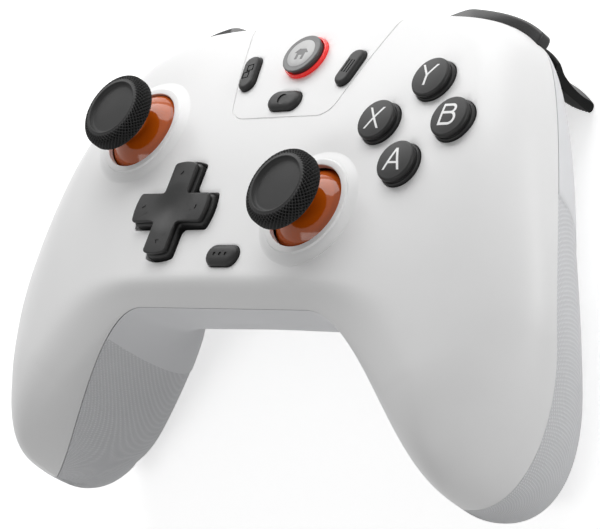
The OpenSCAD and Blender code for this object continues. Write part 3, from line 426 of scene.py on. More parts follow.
GRIP_CURVE = (side_point, side_point + SIDE_OUT * side_dir, tip + (13, 0, -2.5), tip)
INNER_CURVE = (corner, corner + (CORNER_HANDLE, 0, 0), tip + (-13, 3.6, 8.4), tip)
side_share = SHOULDER_OUT / SHOULDER_IN
KNEE_A = 1 / (1 + side_share + side_share * SIDE_OUT / SIDE_IN)
KNEE_B = (1 + side_share) * KNEE_A
KNEE_IN = BOTTOM_HALF / (BOTTOM_HALF + 3 * CORNER_HANDLE)


def bezier(corners, t):
    """Points on a cubic Bezier curve."""
    t = np.clip(np.asarray(t, float), 0, 1)[..., None]
    a, b, c, d = (np.asarray(p, float) for p in corners)
    return (1 - t) ** 3 * a + 3 * t * (1 - t) ** 2 * b + 3 * t * t * (1 - t) * c + t ** 3 * d


def outer(u):
    """The seam's outer side."""
    u = np.asarray(u, float)
    grip = bezier(GRIP_CURVE, (u - KNEE_B) / (1 - KNEE_B))
    side = bezier(SIDE_CURVE, (u - KNEE_A) / (KNEE_B - KNEE_A))
    top = bezier(TOP_CURVE, u / KNEE_A)
    return np.where((u < KNEE_A)[..., None], top, np.where((u < KNEE_B)[..., None], side, grip))


def inner(u):
    """The seam's inner side: the bottom edge, then the inside of the grip."""
    u = np.asarray(u, float)
    edge = corner * np.stack([u / KNEE_IN, np.ones_like(u), np.ones_like(u)], -1)
    return np.where((u < KNEE_IN)[..., None], edge, bezier(INNER_CURVE, (u - KNEE_IN) / (1 - KNEE_IN)))


print("seam turns at", round(KNEE_A, 3), "and", round(KNEE_B, 3))

# %% [markdown]
# ## The skins
# Each skin is a sheet from the inner seam to the outer one. It rises from both seams in a rounded
# shoulder and follows the face, or the back, between them. A formula gives any number of points, so the
# sheet can be as fine as the light on it needs.

# %% Skin formulas
TIP_DEPTH = 28.6
REAR_DEPTH = 29.3
CLOSING_FROM = 0.704
FACE_FLAT_Y, FACE_CURVE_Y, FACE_CURVE_X = 1.1, 0.00264, 0.00012
GRIP_ROOT, GRIP_WAY, GRIP_LEAD = (35, -10), (0.587, -0.8096), 2.93
GRIP_FALL, GRIP_POWER = 0.013, 1.66
ROLL_MIDDLE, ROLL_GRIP, ROLL_MOST, ROLL_BLEND = 4.4, 14.2, 0.42, 0.35
EDGE_TOP, EDGE_SIDE, EDGE_TIP, EDGE_MOST = 4.1, 16.6, 7.7, 0.58
BACK_ROUND, BACK_ROUND_GRIP, BACK_ROUND_INNER = 20.1, 19.9, 13.8
INNER_POWER, OUTER_POWER = 2.055, 1.609
MIDDLE_EASE, DEEP_FROM = 0.08, 0.4


def smooth(u, start, stop):
    """A soft step from 0 to 1."""
    t = np.clip((u - start) / (stop - start), 0, 1)
    return t * t * (3 - 2 * t)


def soft_min(a, b, blend):
    """The smaller of two values, with the corner between them rounded."""
    h = np.clip(0.5 + 0.5 * (b - a) / blend, 0, 1)
    return b * (1 - h) + a * h - blend * h * (1 - h)


def swell(t, power):
    """A rounded rise from 0 to 1."""
    return (1 - (1 - np.clip(t, 0, 1)) ** power) ** (1 / power)


def closing(u):
    """How far the skins have closed towards the grip tip."""
    return np.sqrt(1 - np.clip((u - CLOSING_FROM) / (1 - CLOSING_FROM), 0, 1) ** 2)


def face_z(x, y):
    """Height of the face."""
    return -FACE_CURVE_Y * np.maximum(y - FACE_FLAT_Y, 0) ** 2 - FACE_CURVE_X * x * x


def grip_fall(x, y):
    """How far the face falls away along a grip."""
    along = (x - GRIP_ROOT[0]) * GRIP_WAY[0] + (y - GRIP_ROOT[1]) * GRIP_WAY[1] + GRIP_LEAD
    return GRIP_FALL * np.maximum(along, 0) ** GRIP_POWER


def span_of(u):
    """Distance between the two sides of the seam, in plan."""
    across = outer(u) - inner(u)
    return np.maximum(np.hypot(across[..., 0], across[..., 1]), 0.001)


def front_skin(u, q):
    """Points of the front skin at u along the body and q across it."""
    u, q = np.broadcast_arrays(u, q)
    b, t, span = inner(u), outer(u), span_of(u)
    width = q * span
    on_grip = smooth(u, KNEE_IN, 0.75)
    roll = np.minimum(ROLL_MIDDLE * (1 - on_grip) + ROLL_GRIP * on_grip, ROLL_MOST * span)
    rounding = EDGE_TOP + EDGE_SIDE * smooth(u, 0.1, KNEE_B) - EDGE_TIP * smooth(u, KNEE_B - 0.1, 0.95)
    bevel = np.clip(soft_min(width / roll, 1, ROLL_BLEND), 0, 1)
    rise_b = bevel * (1 - on_grip) + swell(width / roll, 2) * on_grip
    rise_t = swell((span - width) / np.minimum(rounding, EDGE_MOST * span), 2)
    p = b + (t - b) * q[..., None]
    x, y = p[..., 0], p[..., 1]
    z = -TIP_DEPTH + (face_z(x, y) - grip_fall(x, y) + TIP_DEPTH) * closing(u)
    p[..., 2] = z - (z - b[..., 2]) * (1 - rise_b) - (z - t[..., 2]) * (1 - rise_t)
    return p


def rear_skin(u, q):
    """Points of the rear skin, a seam gap below the front one."""
    u, q = np.broadcast_arrays(u, q)
    b, t, span = inner(u) - (0, 0, SEAM_GAP), outer(u) - (0, 0, SEAM_GAP), span_of(u)
    width = q * span
    rounding = np.minimum(BACK_ROUND + BACK_ROUND_GRIP * smooth(u, KNEE_A, 0.9), 0.5 * span)
    rise_b = swell(width / np.minimum(BACK_ROUND_INNER, 0.5 * span), INNER_POWER)
    rise_t = swell((span - width) / rounding, OUTER_POWER)
    low = -TIP_DEPTH - BACK_ROUND_INNER
    from_middle = (np.hypot(u, MIDDLE_EASE) - MIDDLE_EASE) / (math.hypot(1, MIDDLE_EASE) - MIDDLE_EASE)
    inner_depths = np.array([[-REAR_DEPTH], [-47.7], [-53], [low]])
    outer_depths = np.array([[-REAR_DEPTH], [-6], [-80.3], [low]])
    deep_b = bezier(inner_depths, (u - DEEP_FROM) / (1 - DEEP_FROM))[..., 0]
    deep_t = bezier(outer_depths, from_middle)[..., 0]
    p = b + (t - b) * q[..., None]
    z = -TIP_DEPTH + (deep_b + (deep_t - deep_b) * q + TIP_DEPTH) * closing(u)
    p[..., 2] = z + (b[..., 2] - z) * (1 - rise_b) + (t[..., 2] - z) * (1 - rise_t)
    return p


# %% [markdown]
# ## From skins to shells
# A shell has a wall. Each ring of points therefore goes over the skin, round the rim at the seam and
# back under the skin, and the rings are lofted from one grip tip to the other. Near the tips the wall
# closes, as the moulded part is solid there.

# %% Shell solids
WALL = 2.2
HOLLOW_END = 0.9
STATIONS, ACROSS, LINING = 190, 60, 26
GRIP_EDGE, GRIP_SINK, SINK_END = (0.5464, 0.5476), 0.2, (0.93, 0.99)


def spread(count):
    """Shares from 0 to 1, close together at both ends."""
    return (1 - np.cos(np.linspace(0, math.pi, count + 1))) / 2


half_way = np.sort([*np.sin(np.linspace(0, math.pi / 2, STATIONS + 1)), *GRIP_EDGE])


def sunk(points, depth):
    """A grid of skin points, moved in along its normals."""
    along, across = np.gradient(points, axis=0), np.gradient(points, axis=1)
    normal = np.cross(along, across)
    normal /= np.maximum(np.linalg.norm(normal, axis=-1), 1e-9)[..., None]
    way = np.sign(normal[len(points) // 2, points.shape[1] // 2, 2])
    return points + normal * way * depth[:, None, None]


def shell(skin, lift, drop, sink=0):
    """A shell: its skin, its rims and the lining a wall inside it."""
    depth = sink * smooth(half_way, *GRIP_EDGE) * (1 - smooth(half_way, *SINK_END))
    right = sunk(skin(half_way[:, None], spread(ACROSS)[None, :]), depth)
    right[-1] = right[-1, 0]
    top = np.concatenate([right[:0:-1] * (-1, 1, 1), right])
    side = np.concatenate([-half_way[:0:-1], half_way])
    sign = np.where(side < 0, -1, 1)[:, None]
    v = np.minimum(np.abs(side), HOLLOW_END)
    edge = (WALL / span_of(v))[:, None]
    under = skin(v[:, None], edge + (1 - 2 * edge) * spread(LINING)[None, :]) + (0, 0, lift)
    under[..., 0] *= sign
    rims = []
    for share in (1 - edge, edge):
        rim = inner(v) + (outer(v) - inner(v)) * share - (0, 0, drop)
        rims.append((rim * np.hstack([sign, sign * sign, sign * sign]))[:, None])
    rings = np.concatenate([top, rims[0], under[:, ::-1], rims[1]], 1)
    out, back = ACROSS + 1, rings.shape[1] - 1
    return loft(rings, ends=[[0, out, back], list(range(out, back + 1))])


front_shape = shell(front_skin, -WALL, 0)
rear_shape = shell(rear_skin, WALL, SEAM_GAP, GRIP_SINK)
front_tree = BVHTree.FromPolygons(front_shape[0].tolist(), front_shape[1])
print("front shell", len(front_shape[1]), "faces, rear shell", len(rear_shape[1]), "faces")

# %% [markdown]
# ## Openings with soft edges
# A moulded opening has a small round edge, which catches a line of light. A cutter whose side flares
# outwards just below the skin leaves that edge. The skin isn't flat, so each point of the cutter takes
# its height from a ray shot down onto the skin.

# %% Openings of the front shell
STICK_RING_R, WELL_R, BED_D, SNUG = 11.3, 12.6, 0.7, 0.05
BUTTON_R = 4.9
CLUSTER = (41.6, 12.3)
PITCH = 10.05
BUTTONS = {"a": (0, -1), "b": (1, 0), "x": (-1, 0), "y": (0, 1)}
BUTTON_AT = {n: (CLUSTER[0] + PITCH * d[0], CLUSTER[1] + PITCH * d[1]) for n, d in BUTTONS.items()}
DPAD_HALF, DPAD_ARM, DPAD_STEP = 11.2, 6.95, 0.5
HOME_Y, LIGHT_R = 30.6, 5.4
SIDE_KEY = (9.3, 4.2)
MID_KEY = (9.2, 4.9)
LEAN = math.radians(13)
KEYS = {
    "view_button": ((-15.2, 27), SIDE_KEY, math.pi / 2 + LEAN),
    "menu_button": ((15.2, 27), SIDE_KEY, math.pi / 2 - LEAN),
    "share_button": ((0, 19.1), MID_KEY, 0),
    "macro_button": ((0, -18.5), MID_KEY, 0),
}


def skin_z(x, y):
    """Height of the uncut front skin."""
    hit = front_tree.ray_cast(Vector((x, y, 50)), Vector((0, 0, -1)))[0]
    return hit.z if hit else face_z(x, y) - 12


def round_outline(radius, points=72):
    """Outline of a disc, as a function of its growth."""
    angle = np.linspace(0, 2 * math.pi, points, endpoint=False)
    return lambda grow: (radius + grow) * np.stack([np.cos(angle), np.sin(angle)], -1)


def capsule_outline(size, steps=16):
    """Outline of a bar with round ends, as a function of its growth."""
    length, width = size
    ends = (arc((0, 0), 1, -90, 90, steps), arc((0, 0), 1, 90, 270, steps))
    shift = (length - width) / 2

    def outline(grow):
        right = np.array(ends[0]) * (width / 2 + grow) + (shift, 0)
        left = np.array(ends[1]) * (width / 2 + grow) - (shift, 0)
        return np.concatenate([right, left])
    return outline


def cross_outline(half, arm, corner_r=0.9, notch_r=0.7, steps=6):
    """Outline of a cross whose arms end in arcs round its centre, as a function of its growth."""
    def outline(grow):
        reach, side = half + grow, arm / 2 + grow
        tip_r, inner_r = max(corner_r + grow, 0.05), max(notch_r - grow, 0.05)
        away = math.sqrt((reach - tip_r) ** 2 - (side - tip_r) ** 2)
        turn = math.degrees(math.atan2(side - tip_r, away))
        quarter = arc((0, 0), reach, -turn, turn, steps)
        quarter += arc((away, side - tip_r), tip_r, turn, 90, steps)[1:]
        run = np.linspace(away, side + inner_r, steps + 2)[1:-1]
        quarter += [(x, side) for x in run]
        quarter += arc((side + inner_r, side + inner_r), inner_r, 270, 180, steps)
        quarter += [(side, x) for x in run[::-1]]
        quarter += arc((side - tip_r, away), tip_r, 0, 90 - turn, steps)[:-1]
        points = np.array(quarter)
        turned = [points]
        for _ in range(3):
            points = np.stack([-points[:, 1], points[:, 0]], -1)
            turned.append(points)
        return np.concatenate(turned)
    return outline


def follow_face(shape, place, low=-99, high=-98, most=1):
    """A shape whose points above low lean with the face round them, as much as they will above high."""
    points, faces = shape
    points = points.copy()
    x, y, z = points.T
    middle = face_z(*place)
    share = np.clip((z - middle - low) / (high - low), 0, 1)
    points[:, 2] += most * share * (face_z(x, y) - middle)
    return points, faces


def opening(outline, place, turn=0, edge=0.15, depth=9):
    """A cutter for an opening whose edge is rounded where it meets the skin."""
    start = math.radians(75)
    bends = np.linspace(0, start, 6)
    levels = [(0, -depth)]
    levels += [(edge * (1 - math.cos(a)), edge * (math.sin(a) - math.sin(start))) for a in bends]
    grow = levels[-1][0]
    levels += [(grow + 1.5 * edge * math.sin(start), 1.5 * edge * math.cos(start))]
    levels += [(levels[-1][0], 6)]
    points, faces = stack(outline, levels, (*place, 0), turn)
    around = len(points) // len(levels)
    skin = np.array([skin_z(x, y) for x, y, _ in points[-around:]])
    points[:, 2] += np.tile(skin, len(levels))
    return points, faces


CLEAR, BUTTON_CLEAR, KEY_CLEAR, DPAD_CLEAR = 0.35, 0.15, 0.12, 0.46
front_cutters = []
for x, y in STICKS.values():
    seat = face_z(x, y)
    well = [(0, STICK_Z - 20), (WELL_R, STICK_Z - 20)] + arc((0, STICK_Z), WELL_R, 0, 90, 24)
    front_cutters.append(lathe(well, (x, y, 0)))
    bed = stack(round_outline(STICK_RING_R + SNUG, 96), [(0, seat - BED_D), (0, 20)], (x, y, 0))
    front_cutters.append(follow_face(bed, (x, y)))
for place in BUTTON_AT.values():
    front_cutters.append(opening(round_outline(BUTTON_R + BUTTON_CLEAR), place))
dpad_grow = DPAD_STEP + DPAD_CLEAR
dpad_well = cross_outline(DPAD_HALF + dpad_grow, DPAD_ARM + 2 * dpad_grow, notch_r=1.4)
front_cutters.append(opening(dpad_well, DPAD))
front_cutters.append(opening(round_outline(LIGHT_R + SNUG), (0, HOME_Y)))
for place, size, turn in KEYS.values():
    front_cutters.append(opening(lambda grow, s=size: capsule_outline(s)(grow + KEY_CLEAR), place, turn))
print("openings:", len(front_cutters))

# %% [markdown]
# ## The groove of the centre panel
# The face has a panel with the small keys, marked off by a fine groove. A swept cutter draws it: a
# narrow section carried along the panel's outline, at the height of the skin.

# %% Groove cutter
PANEL_LOW, PANEL_LOW_HALF, PANEL_HIGH_HALF, PANEL_CORNER = 15, 16, 24.5, 5
GROOVE_W, GROOVE_D = 0.45, 0.16


def panel_path():
    """The groove's way over the face: down the left side, along the bottom and up the right side."""
    low, high = PANEL_LOW + PANEL_CORNER, TOP_Y + PANEL_CORNER
    slope = math.atan2(PANEL_HIGH_HALF - PANEL_LOW_HALF, high - low)
    centre = (PANEL_LOW_HALF - PANEL_CORNER, low)
    bend = arc(centre, PANEL_CORNER, -90, -math.degrees(slope), 14)
    out = np.array([math.sin(slope), math.cos(slope)])
    rise = [np.array(bend[-1]) + out * step for step in np.linspace(0.6, 22.4, 50)]
    base = [(x, PANEL_LOW) for x in np.linspace(0, centre[0], 14)[:-1]]
    right = np.array([*base, *bend, *rise])
    return np.concatenate([right[:0:-1] * (-1, 1), right])


def groove(path, width, depth):
    """A swept cutter along a path over the face."""
    along = np.gradient(path, axis=0)
    along /= np.linalg.norm(along, axis=1)[:, None]
    side = np.stack([-along[:, 1], along[:, 0]], -1)
    skin = np.array([skin_z(x, y) for x, y in path])
    section = [(0.5, 1), (0.5, 0), (0.25, -1), (-0.25, -1), (-0.5, 0), (-0.5, 1)]
    rings = [np.concatenate([path + side * width * s, (skin + depth * h)[:, None]], 1) for s, h in section]
    return loft(np.stack(rings, 1))


front_cutters.append(groove(panel_path(), GROOVE_W, GROOVE_D))

# %% [markdown]
# ## Shoulder notches
# The bumpers sit in a notch across the seam at each shoulder, so the same notch is cut from both
# shells. Its outline runs beside the seam, a press distance behind the bumper.

# %% Notch for the bumpers
BUMPER_FROM, BUMPER_TO = 0.106, 0.38
BUMPER_TOP, BUMPER_H = 8.9, 8.7
BUMPER_PROUD, BUMPER_INSET, BUMPER_PRESS = 2.4, 3, math.radians(1.8)
BUMPER_END, BUMPER_RISE, BUMPER_TIP = 0.342, 1.5, 3
BUMPER_THIN, BUMPER_EDGE, BUMPER_ROUND = 0.22, 0.5, 0.014
HINGE_BACK, HINGE_R, NOTCH_OUT, NOTCH_SPARE, PRESS_SPARE = 3.4, 1.6, 9.6, 0.008, 0.55


def beside_seam(u, out):
    """Points beside the outer seam, in plan, a distance out from it."""
    u = np.asarray(u, float)
    way = (outer(u + 0.002) - outer(u - 0.002))[..., :2]
    way /= np.linalg.norm(way, axis=-1)[..., None]
    across = np.stack([-way[..., 1], way[..., 0]], -1)
    return outer(u)[..., :2] + across * np.asarray(out, float)[..., None]


bumper_hinge = beside_seam(BUMPER_FROM, -HINGE_BACK)
bumper_room = (outer(BUMPER_TO)[0] - bumper_hinge[0]) * math.sin(BUMPER_PRESS) + PRESS_SPARE


def slab(plan, low, high):
    """A flat solid with a plan outline."""
    return loft([np.column_stack([plan, np.full(len(plan), level)]) for level in (low, high)])


def mirrored(shape, side):
    """A shape on the right, or its mirror image on the left."""
    points, faces = shape
    return points * (side, 1, 1), faces


def bumper_top(u):
    """Height of a bumper's top, which falls with the seam."""
    return np.minimum(-BUMPER_TOP, outer(u)[..., 2] + BUMPER_RISE)


def bumper_low(u):
    """Height of a bumper's underside, which rises towards its outer end."""
    base = -BUMPER_TOP - BUMPER_H
    return base + (bumper_top(u) - BUMPER_TIP - base) * smooth(u, BUMPER_THIN, BUMPER_END)


def along_seam(stations, section):
    """A solid along the seam through a section of (out, height) points at each station."""
    rings = []
    for u in stations:
        out, height = np.array(section(u)).T
        rings.append(np.column_stack([beside_seam(np.full(len(out), u), out), height]))
    return loft(rings)


def notch_section(u):
    """Section of the room round a bumper."""
    high, low, back = bumper_top(u) + CLEAR, bumper_low(u) - CLEAR, -BUMPER_INSET - bumper_room
    return [(NOTCH_OUT, low), (NOTCH_OUT, high), (back, high), (back, low)]


def shoulder_notch():
    """Cutters for one shoulder notch: the bumper's room and its hinge."""
    room = along_seam(np.linspace(BUMPER_FROM, BUMPER_END + NOTCH_SPARE, 48), notch_section)
    hinge = round_outline(HINGE_R + CLEAR, 32)(0) + bumper_hinge
    return [room, slab(hinge, -BUMPER_TOP - BUMPER_H - CLEAR, -BUMPER_TOP + CLEAR)]


notches = [mirrored(shape, side) for side in (-1, 1) for shape in shoulder_notch()]
front_cutters += notches
print("notch is", round(BUMPER_INSET + bumper_room, 2), "mm deep")

# %% [markdown]
# ## Cutting the front shell
# The posts that hold the board and the rear shell are joined to the lining first, and then every
# cutter goes through, so a post that stands in the way of an opening is cut with it.

# %% Front shell
CASE_POSTS = {(22, 36): (13, 15.6), (60, -46): (25, 31)}
BOARD_POSTS = ((-22, 12), (22, 12), (0, -6))
BOARD_Z = -14
POST_R, PILOT_R, BOARD_POST_R, BOARD_PILOT_R = 3, 1.25, 2.2, 1.05


def rod(place, radius, low, high, around=32):
    """An upright cylinder."""
    return stack(round_outline(radius, around), [(0, low), (0, high)], (*place, 0))


def post_top(place, radius):
    """A height that stays inside the wall over the whole top of a post."""
    return min(skin_z(x, y) for x, y in round_outline(radius, 16)(0) + place) - WALL / 2


front = solid("front_shell_skin", front_shape)
front_posts = []
for (x, y), (split, _) in CASE_POSTS.items():
    front_posts += [rod((s * x, y), POST_R, -split, post_top((s * x, y), POST_R)) for s in (-1, 1)]
    front_cutters += [rod((s * x, y), PILOT_R, -split - 1, 8 - split) for s in (-1, 1)]
for place in BOARD_POSTS:
    front_posts.append(rod(place, BOARD_POST_R, BOARD_Z, post_top(place, BOARD_POST_R)))
    front_cutters.append(rod(place, BOARD_PILOT_R, BOARD_Z - 1, BOARD_Z + 6))
join(front, front_posts)
cut(front, front_cutters)
dress(front, "shell_white", "case", "front_shell")


def in_well(polygon):
    """True for a face that lines a stick's well."""
    x, y, z = FACE_TURN.transposed() @ (polygon.center - FACE_MOVE) / MM
    near = min(math.hypot(x - place[0], y - place[1]) for place in STICKS.values())
    return near < WELL_R + 0.1 and z < face_z(x, y) - BED_D - SNUG


# The faces that line each stick's well belong to the white shell, but take the dark inner finish: painted
# shade for the deep gap under the ring, also standing in for the black dust shield that the real pad has
# beneath the stick.
front.data.materials.append(FINISH["inner_plastic"])
front.data.polygons.foreach_set("material_index", [int(in_well(p)) for p in front.data.polygons])

# %% [markdown]
# ## Cutting the rear shell
# The rear shell gives way to the triggers in a wide window on each side, to the charging socket at the
# top, and to four screws in deep sleeves. Its grips carry a fine pattern of studs for the fingers.

# %% Rear shell
TRIGGER_Y, TRIGGER_Z, TRIGGER_TOP = 28.5, -20.5, -18.4
TRIGGER_FROM, TRIGGER_TO, TRIGGER_GAP = 0.118, 0.365, 0.8
WINDOW_SPARE, FAR = 0.006, 90
HUB_R, HUB_FROM, HUB_TO, PIN_R = 5.5, 30, 52, 1.55
EAR_R, EAR_FROM, EAR_TO = 2.4, 27.4, 54.4
SLEEVE_R, SCREW_R, HEAD_R = 4, 1.3, 2.4
USB = (9, 3.2)
USB_Z = -12.4


def block(low, high):
    """A box between two corners."""
    plan = np.array([(low[0], low[1]), (high[0], low[1]), (high[0], high[1]), (low[0], high[1])])
    return slab(plan, low[2], high[2])


def rod_x(radius, start, stop, around=48):
    """A cylinder along x at the trigger's pivot."""
    y, z = round_outline(radius, around)(0).T
    rings = [np.column_stack([np.full(around, x), y + TRIGGER_Y, z + TRIGGER_Z]) for x in (start, stop)]
    return loft(rings)


def sleeve(place, radius, high):
    """A screw's sleeve, from the middle of the rear wall up to a level."""
    ring = round_outline(radius, 48)(0) + place
    feet = [rear_tree.ray_cast(Vector((x, y, -FAR)), Vector((0, 0, 1)))[0].z + WALL / 2 for x, y in ring]
    return loft([np.column_stack([ring, level]) for level in (feet, np.full(len(ring), high))])


def trigger_window():
    """Cutters for one trigger: its window and the room round its hub and ears."""
    low = (outer(TRIGGER_FROM - WINDOW_SPARE)[0], TRIGGER_Y, -FAR)
    high = (outer(TRIGGER_TO + WINDOW_SPARE)[0], FAR, TRIGGER_TOP + TRIGGER_GAP)
    hub = rod_x(HUB_R + CLEAR, HUB_FROM - CLEAR, HUB_TO + CLEAR)
    ears = rod_x(EAR_R + CLEAR, EAR_FROM - CLEAR, EAR_TO + CLEAR)
    return [block(low, high), hub, ears]


ring_length = ACROSS + LINING + 4
side_u = np.concatenate([half_way[:0:-1], half_way])
between_rings = (side_u[1:] + side_u[:-1]) / 2
studded = (between_rings[:, None] > GRIP_EDGE[1]) & (np.arange(ring_length) < ACROSS)[None, :]
rear_kinds = np.zeros(len(rear_shape[1]), int)
rear_kinds[:studded.size] = studded.reshape(-1)
rear_rings = rear_shape[0].reshape(-1, ring_length, 3)
rear_ways = np.zeros_like(rear_rings)
for axis in (0, 1):
    step = np.linalg.norm(np.diff(rear_rings[:, :ACROSS + 1], axis=axis), axis=-1)
    walked = np.cumsum(step, axis=axis)
    walked = np.insert(walked, 0, 0, axis=axis)
    rear_ways[:, :ACROSS + 1, axis] = walked - walked.take([walked.shape[axis] // 2], axis)
rear = solid("rear_shell_skin", rear_shape, rear_kinds, rear_ways)
for name in ("shell_grey", "grip_studs"):
    rear.data.materials.append(FINISH[name])
rear_tree = BVHTree.FromPolygons(rear_shape[0].tolist(), rear_shape[1])
rear_sleeves, rear_cutters = [], list(notches)
for (x, y), (split, head) in CASE_POSTS.items():
    for s in (-1, 1):
        rear_sleeves.append(sleeve((s * x, y), SLEEVE_R, -split))
        rear_cutters += [rod((s * x, y), SCREW_R, -head - 1, 0), rod((s * x, y), HEAD_R, -FAR, -head)]
rear_cutters += [mirrored(shape, s) for s in (-1, 1) for shape in trigger_window()]
socket = capsule_outline(USB)(CLEAR)
rear_cutters.append(loft([np.column_stack([socket[:, 0], np.full(len(socket), y), socket[:, 1] + USB_Z])
                          for y in (36, 46)]))
join(rear, rear_sleeves)
cut(rear, rear_cutters)
rear_kinds = [polygon.material_index for polygon in rear.data.polygons]
dress(rear, "shell_grey", "case", "rear_shell")
rear.data.materials.append(FINISH["grip_studs"])
rear.data.polygons.foreach_set("material_index", rear_kinds)
print("studded faces:", sum(rear_kinds))

# %% [markdown]
# ## Sticks
# A stick is a rubber cap on a glossy dome that slides under a raised ring. All three are turned parts.
# The cap's rim has a knurl for the thumb: two sets of slanted ridges that cross, so the rim's points are
# pushed out by a diamond pattern.

# %% Stick rings, domes and caps
CAP_TOP, CAP_BOTTOM, CAP_R, NECK_TOP, NECK_R = 19, 14.8, 8.9, 15.6, 3.6
TEETH, KNURL = 56, 0.38
COLLAR_R, COLLAR_RISE = 13.4, 0.82
DOME_R, DOME_LINING_R, BORE_R = 12, 10.6, 1.65


def stick_ring(x, y):
    """The raised ring round a stick, with the slope that leads up to it, as a closed profile."""
    slope_at = np.linspace(COLLAR_R, 11.1, 16)
    slope = [(r, COLLAR_RISE * (1 - smooth(r, 10.9, COLLAR_R)) - 0.02) for r in slope_at]
    lip = arc((10.7, 0.96), 0.24, 0, 90, 8) + arc((9.7, 0.95), 0.25, 90, 180, 6)
    foot = [(STICK_RING_R, -BED_D), (STICK_RING_R, -0.2), (COLLAR_R, -0.2)]
    profile = [*foot, *slope, *lip, (9.42, -0.1), (10.1, -BED_D)]
    return follow_face(lathe(profile, (x, y, face_z(x, y)), 128, loop=True), (x, y))


def stick_dome(x, y):
    """The dome, its neck and the bore for the shaft."""
    neck = arc((NECK_R + 1, 12.15), 1, 180, 250, 6)
    out = arc((0, 0), DOME_R, 69.5, 18.4, 35)
    lining = arc((0, 0), DOME_LINING_R, 21, 81, 23)
    profile = [(0, NECK_TOP), (NECK_R - 0.2, NECK_TOP), (NECK_R, NECK_TOP - 0.2), *neck, *out, *lining]
    profile += [(BORE_R, NECK_TOP - SNUG), (0, NECK_TOP - SNUG)]
    return lathe(profile, (x, y, STICK_Z))


def knurled(profile, place, around):
    """A turned rim whose points are pushed out by two crossing sets of ridges."""
    profile = np.array(profile)
    step = np.linalg.norm(np.diff(profile, axis=0), axis=1)
    length = np.concatenate([[0], np.cumsum(step)])
    way = np.gradient(profile, axis=0)
    way /= np.linalg.norm(way, axis=1)[:, None]
    out = np.stack([way[:, 1], -way[:, 0]], -1)
    angle = np.linspace(0, 2 * math.pi, around, endpoint=False)
    pitch = 2 * math.pi * CAP_R / TEETH
    slant = math.pi * length[:, None] / pitch
    left_hand = np.abs(np.cos(TEETH * angle / 2 + slant))
    right_hand = np.abs(np.cos(TEETH * angle / 2 - slant))
    lowest = math.sqrt(0.5)
    ridges = (np.maximum(left_hand, right_hand) - lowest) / (1 - lowest)
    fade = smooth(length, 0, 0.5) * smooth(length[-1] - length, 0, 0.4)
    push = KNURL * (ridges - 1) * fade[:, None]
    radius = profile[:, :1] + out[:, :1] * push
    height = profile[:, 1:] + out[:, 1:] * push
    x = place[0] + radius * np.cos(angle)
    y = place[1] + radius * np.sin(angle)
    return np.stack([x, y, place[2] + height], -1)


def stick_cap(x, y):
    """The rubber cap: pocket, knurled rim, bead and dish."""
    around = 10 * TEETH
    place = (x, y, STICK_Z)
    below = [(0, NECK_TOP), (3.7, NECK_TOP), (3.7, CAP_BOTTOM), (6.8, CAP_BOTTOM)]
    rim = arc((CAP_R - 1, CAP_BOTTOM + 1), 1, -90, 0, 10)
    rim += [(CAP_R, z) for z in np.linspace(CAP_BOTTOM + 1.12, CAP_TOP - 2.1, 10)]
    shoulder_at = np.radians(np.linspace(4, 84, 26))
    rim += [(6.9 + (CAP_R - 6.9) * math.cos(a), CAP_TOP - 2 + 1.9 * math.sin(a)) for a in shoulder_at]
    bead = arc((6.5, CAP_TOP - 0.2), 0.2, 40, 170, 7)
    wall = [(6.05, CAP_TOP - 0.6), (5.8, CAP_TOP - 0.78), (5.6, CAP_TOP - 0.8)]
    dish = wall + [(r, CAP_TOP - 0.8 + 0.12 * (1 - (r / 5.6) ** 2)) for r in np.linspace(5.4, 0, 12)]
    rings = [turned(below, place, around), knurled(rim, place, around), turned(bead + dish, place, around)]
    return loft(np.concatenate(rings))


for side, place in STICKS.items():
    body = f"{side}_stick"
    dress(solid(f"{body}_collar", stick_ring(*place)), "ring_white", "case", f"{body}_ring")
    dress(solid(f"{body}_dome", stick_dome(*place)), "stem_orange", body, f"{body}_stem")
    dress(solid(f"{side}_thumb_cap", stick_cap(*place)), "cap_rubber", body, f"{body}_cap")

# %% [markdown]
# ## Face buttons and their letters
# A face button is a turned cap with a narrower crown on a skirt. Its letter is moulded through in
# white, so it is real geometry: a few strokes with level ends, joined into one slab and set flush.

# %% Face buttons
BUTTON_TOP, CROWN_R, CROWN_FALL = 2.5, 4.1, 0.25
FOOT_LOW, LETTER_D, LETTER_PROUD = -10.6, 1.4, 0.02


def face_button(x, y, lift=0):
    """Domed crown, valley, skirt, flange and foot of a face button."""
    foot = FOOT_LOW - face_z(x, y)
    crown = [(r, BUTTON_TOP - CROWN_FALL * (r / CROWN_R) ** 2) for r in np.linspace(0, CROWN_R, 14)]
    crown += arc((CROWN_R, 1.65), 0.6, 83, 0, 9)
    valley = [(4.66, 1.4), (4.45, 1.1), (4.3, 0.9), (4.3, 0.75), (4.38, 0.69)]
    skirt = arc((4.6, 0.42), 0.3, 115, 0, 8)
    base = [(BUTTON_R, -3.2), (6, -3.2), (6, -4.2), (2.6, -4.2), (2.6, foot), (0, foot)]
    shape = lathe(crown + valley + skirt + base, (x, y, face_z(x, y) + lift), around=96)
    return follow_face(shape, (x, y), -2.5, -0.5, 0.5)


def leg(start, stop, width):
    """A straight stroke with level ends."""
    (x0, y0), (x1, y1), half = start, stop, width / 2
    return np.array([(x0 - half, y0), (x0 + half, y0), (x1 + half, y1), (x1 - half, y1)])


def ribbon(path, width):
    """A stroke of one width along a path."""
    path = np.array(path)
    way = np.gradient(path, axis=0)
    way /= np.linalg.norm(way, axis=1)[:, None]
    side = np.stack([-way[:, 1], way[:, 0]], -1) * width / 2
    return np.concatenate([path - side, (path + side)[::-1]])


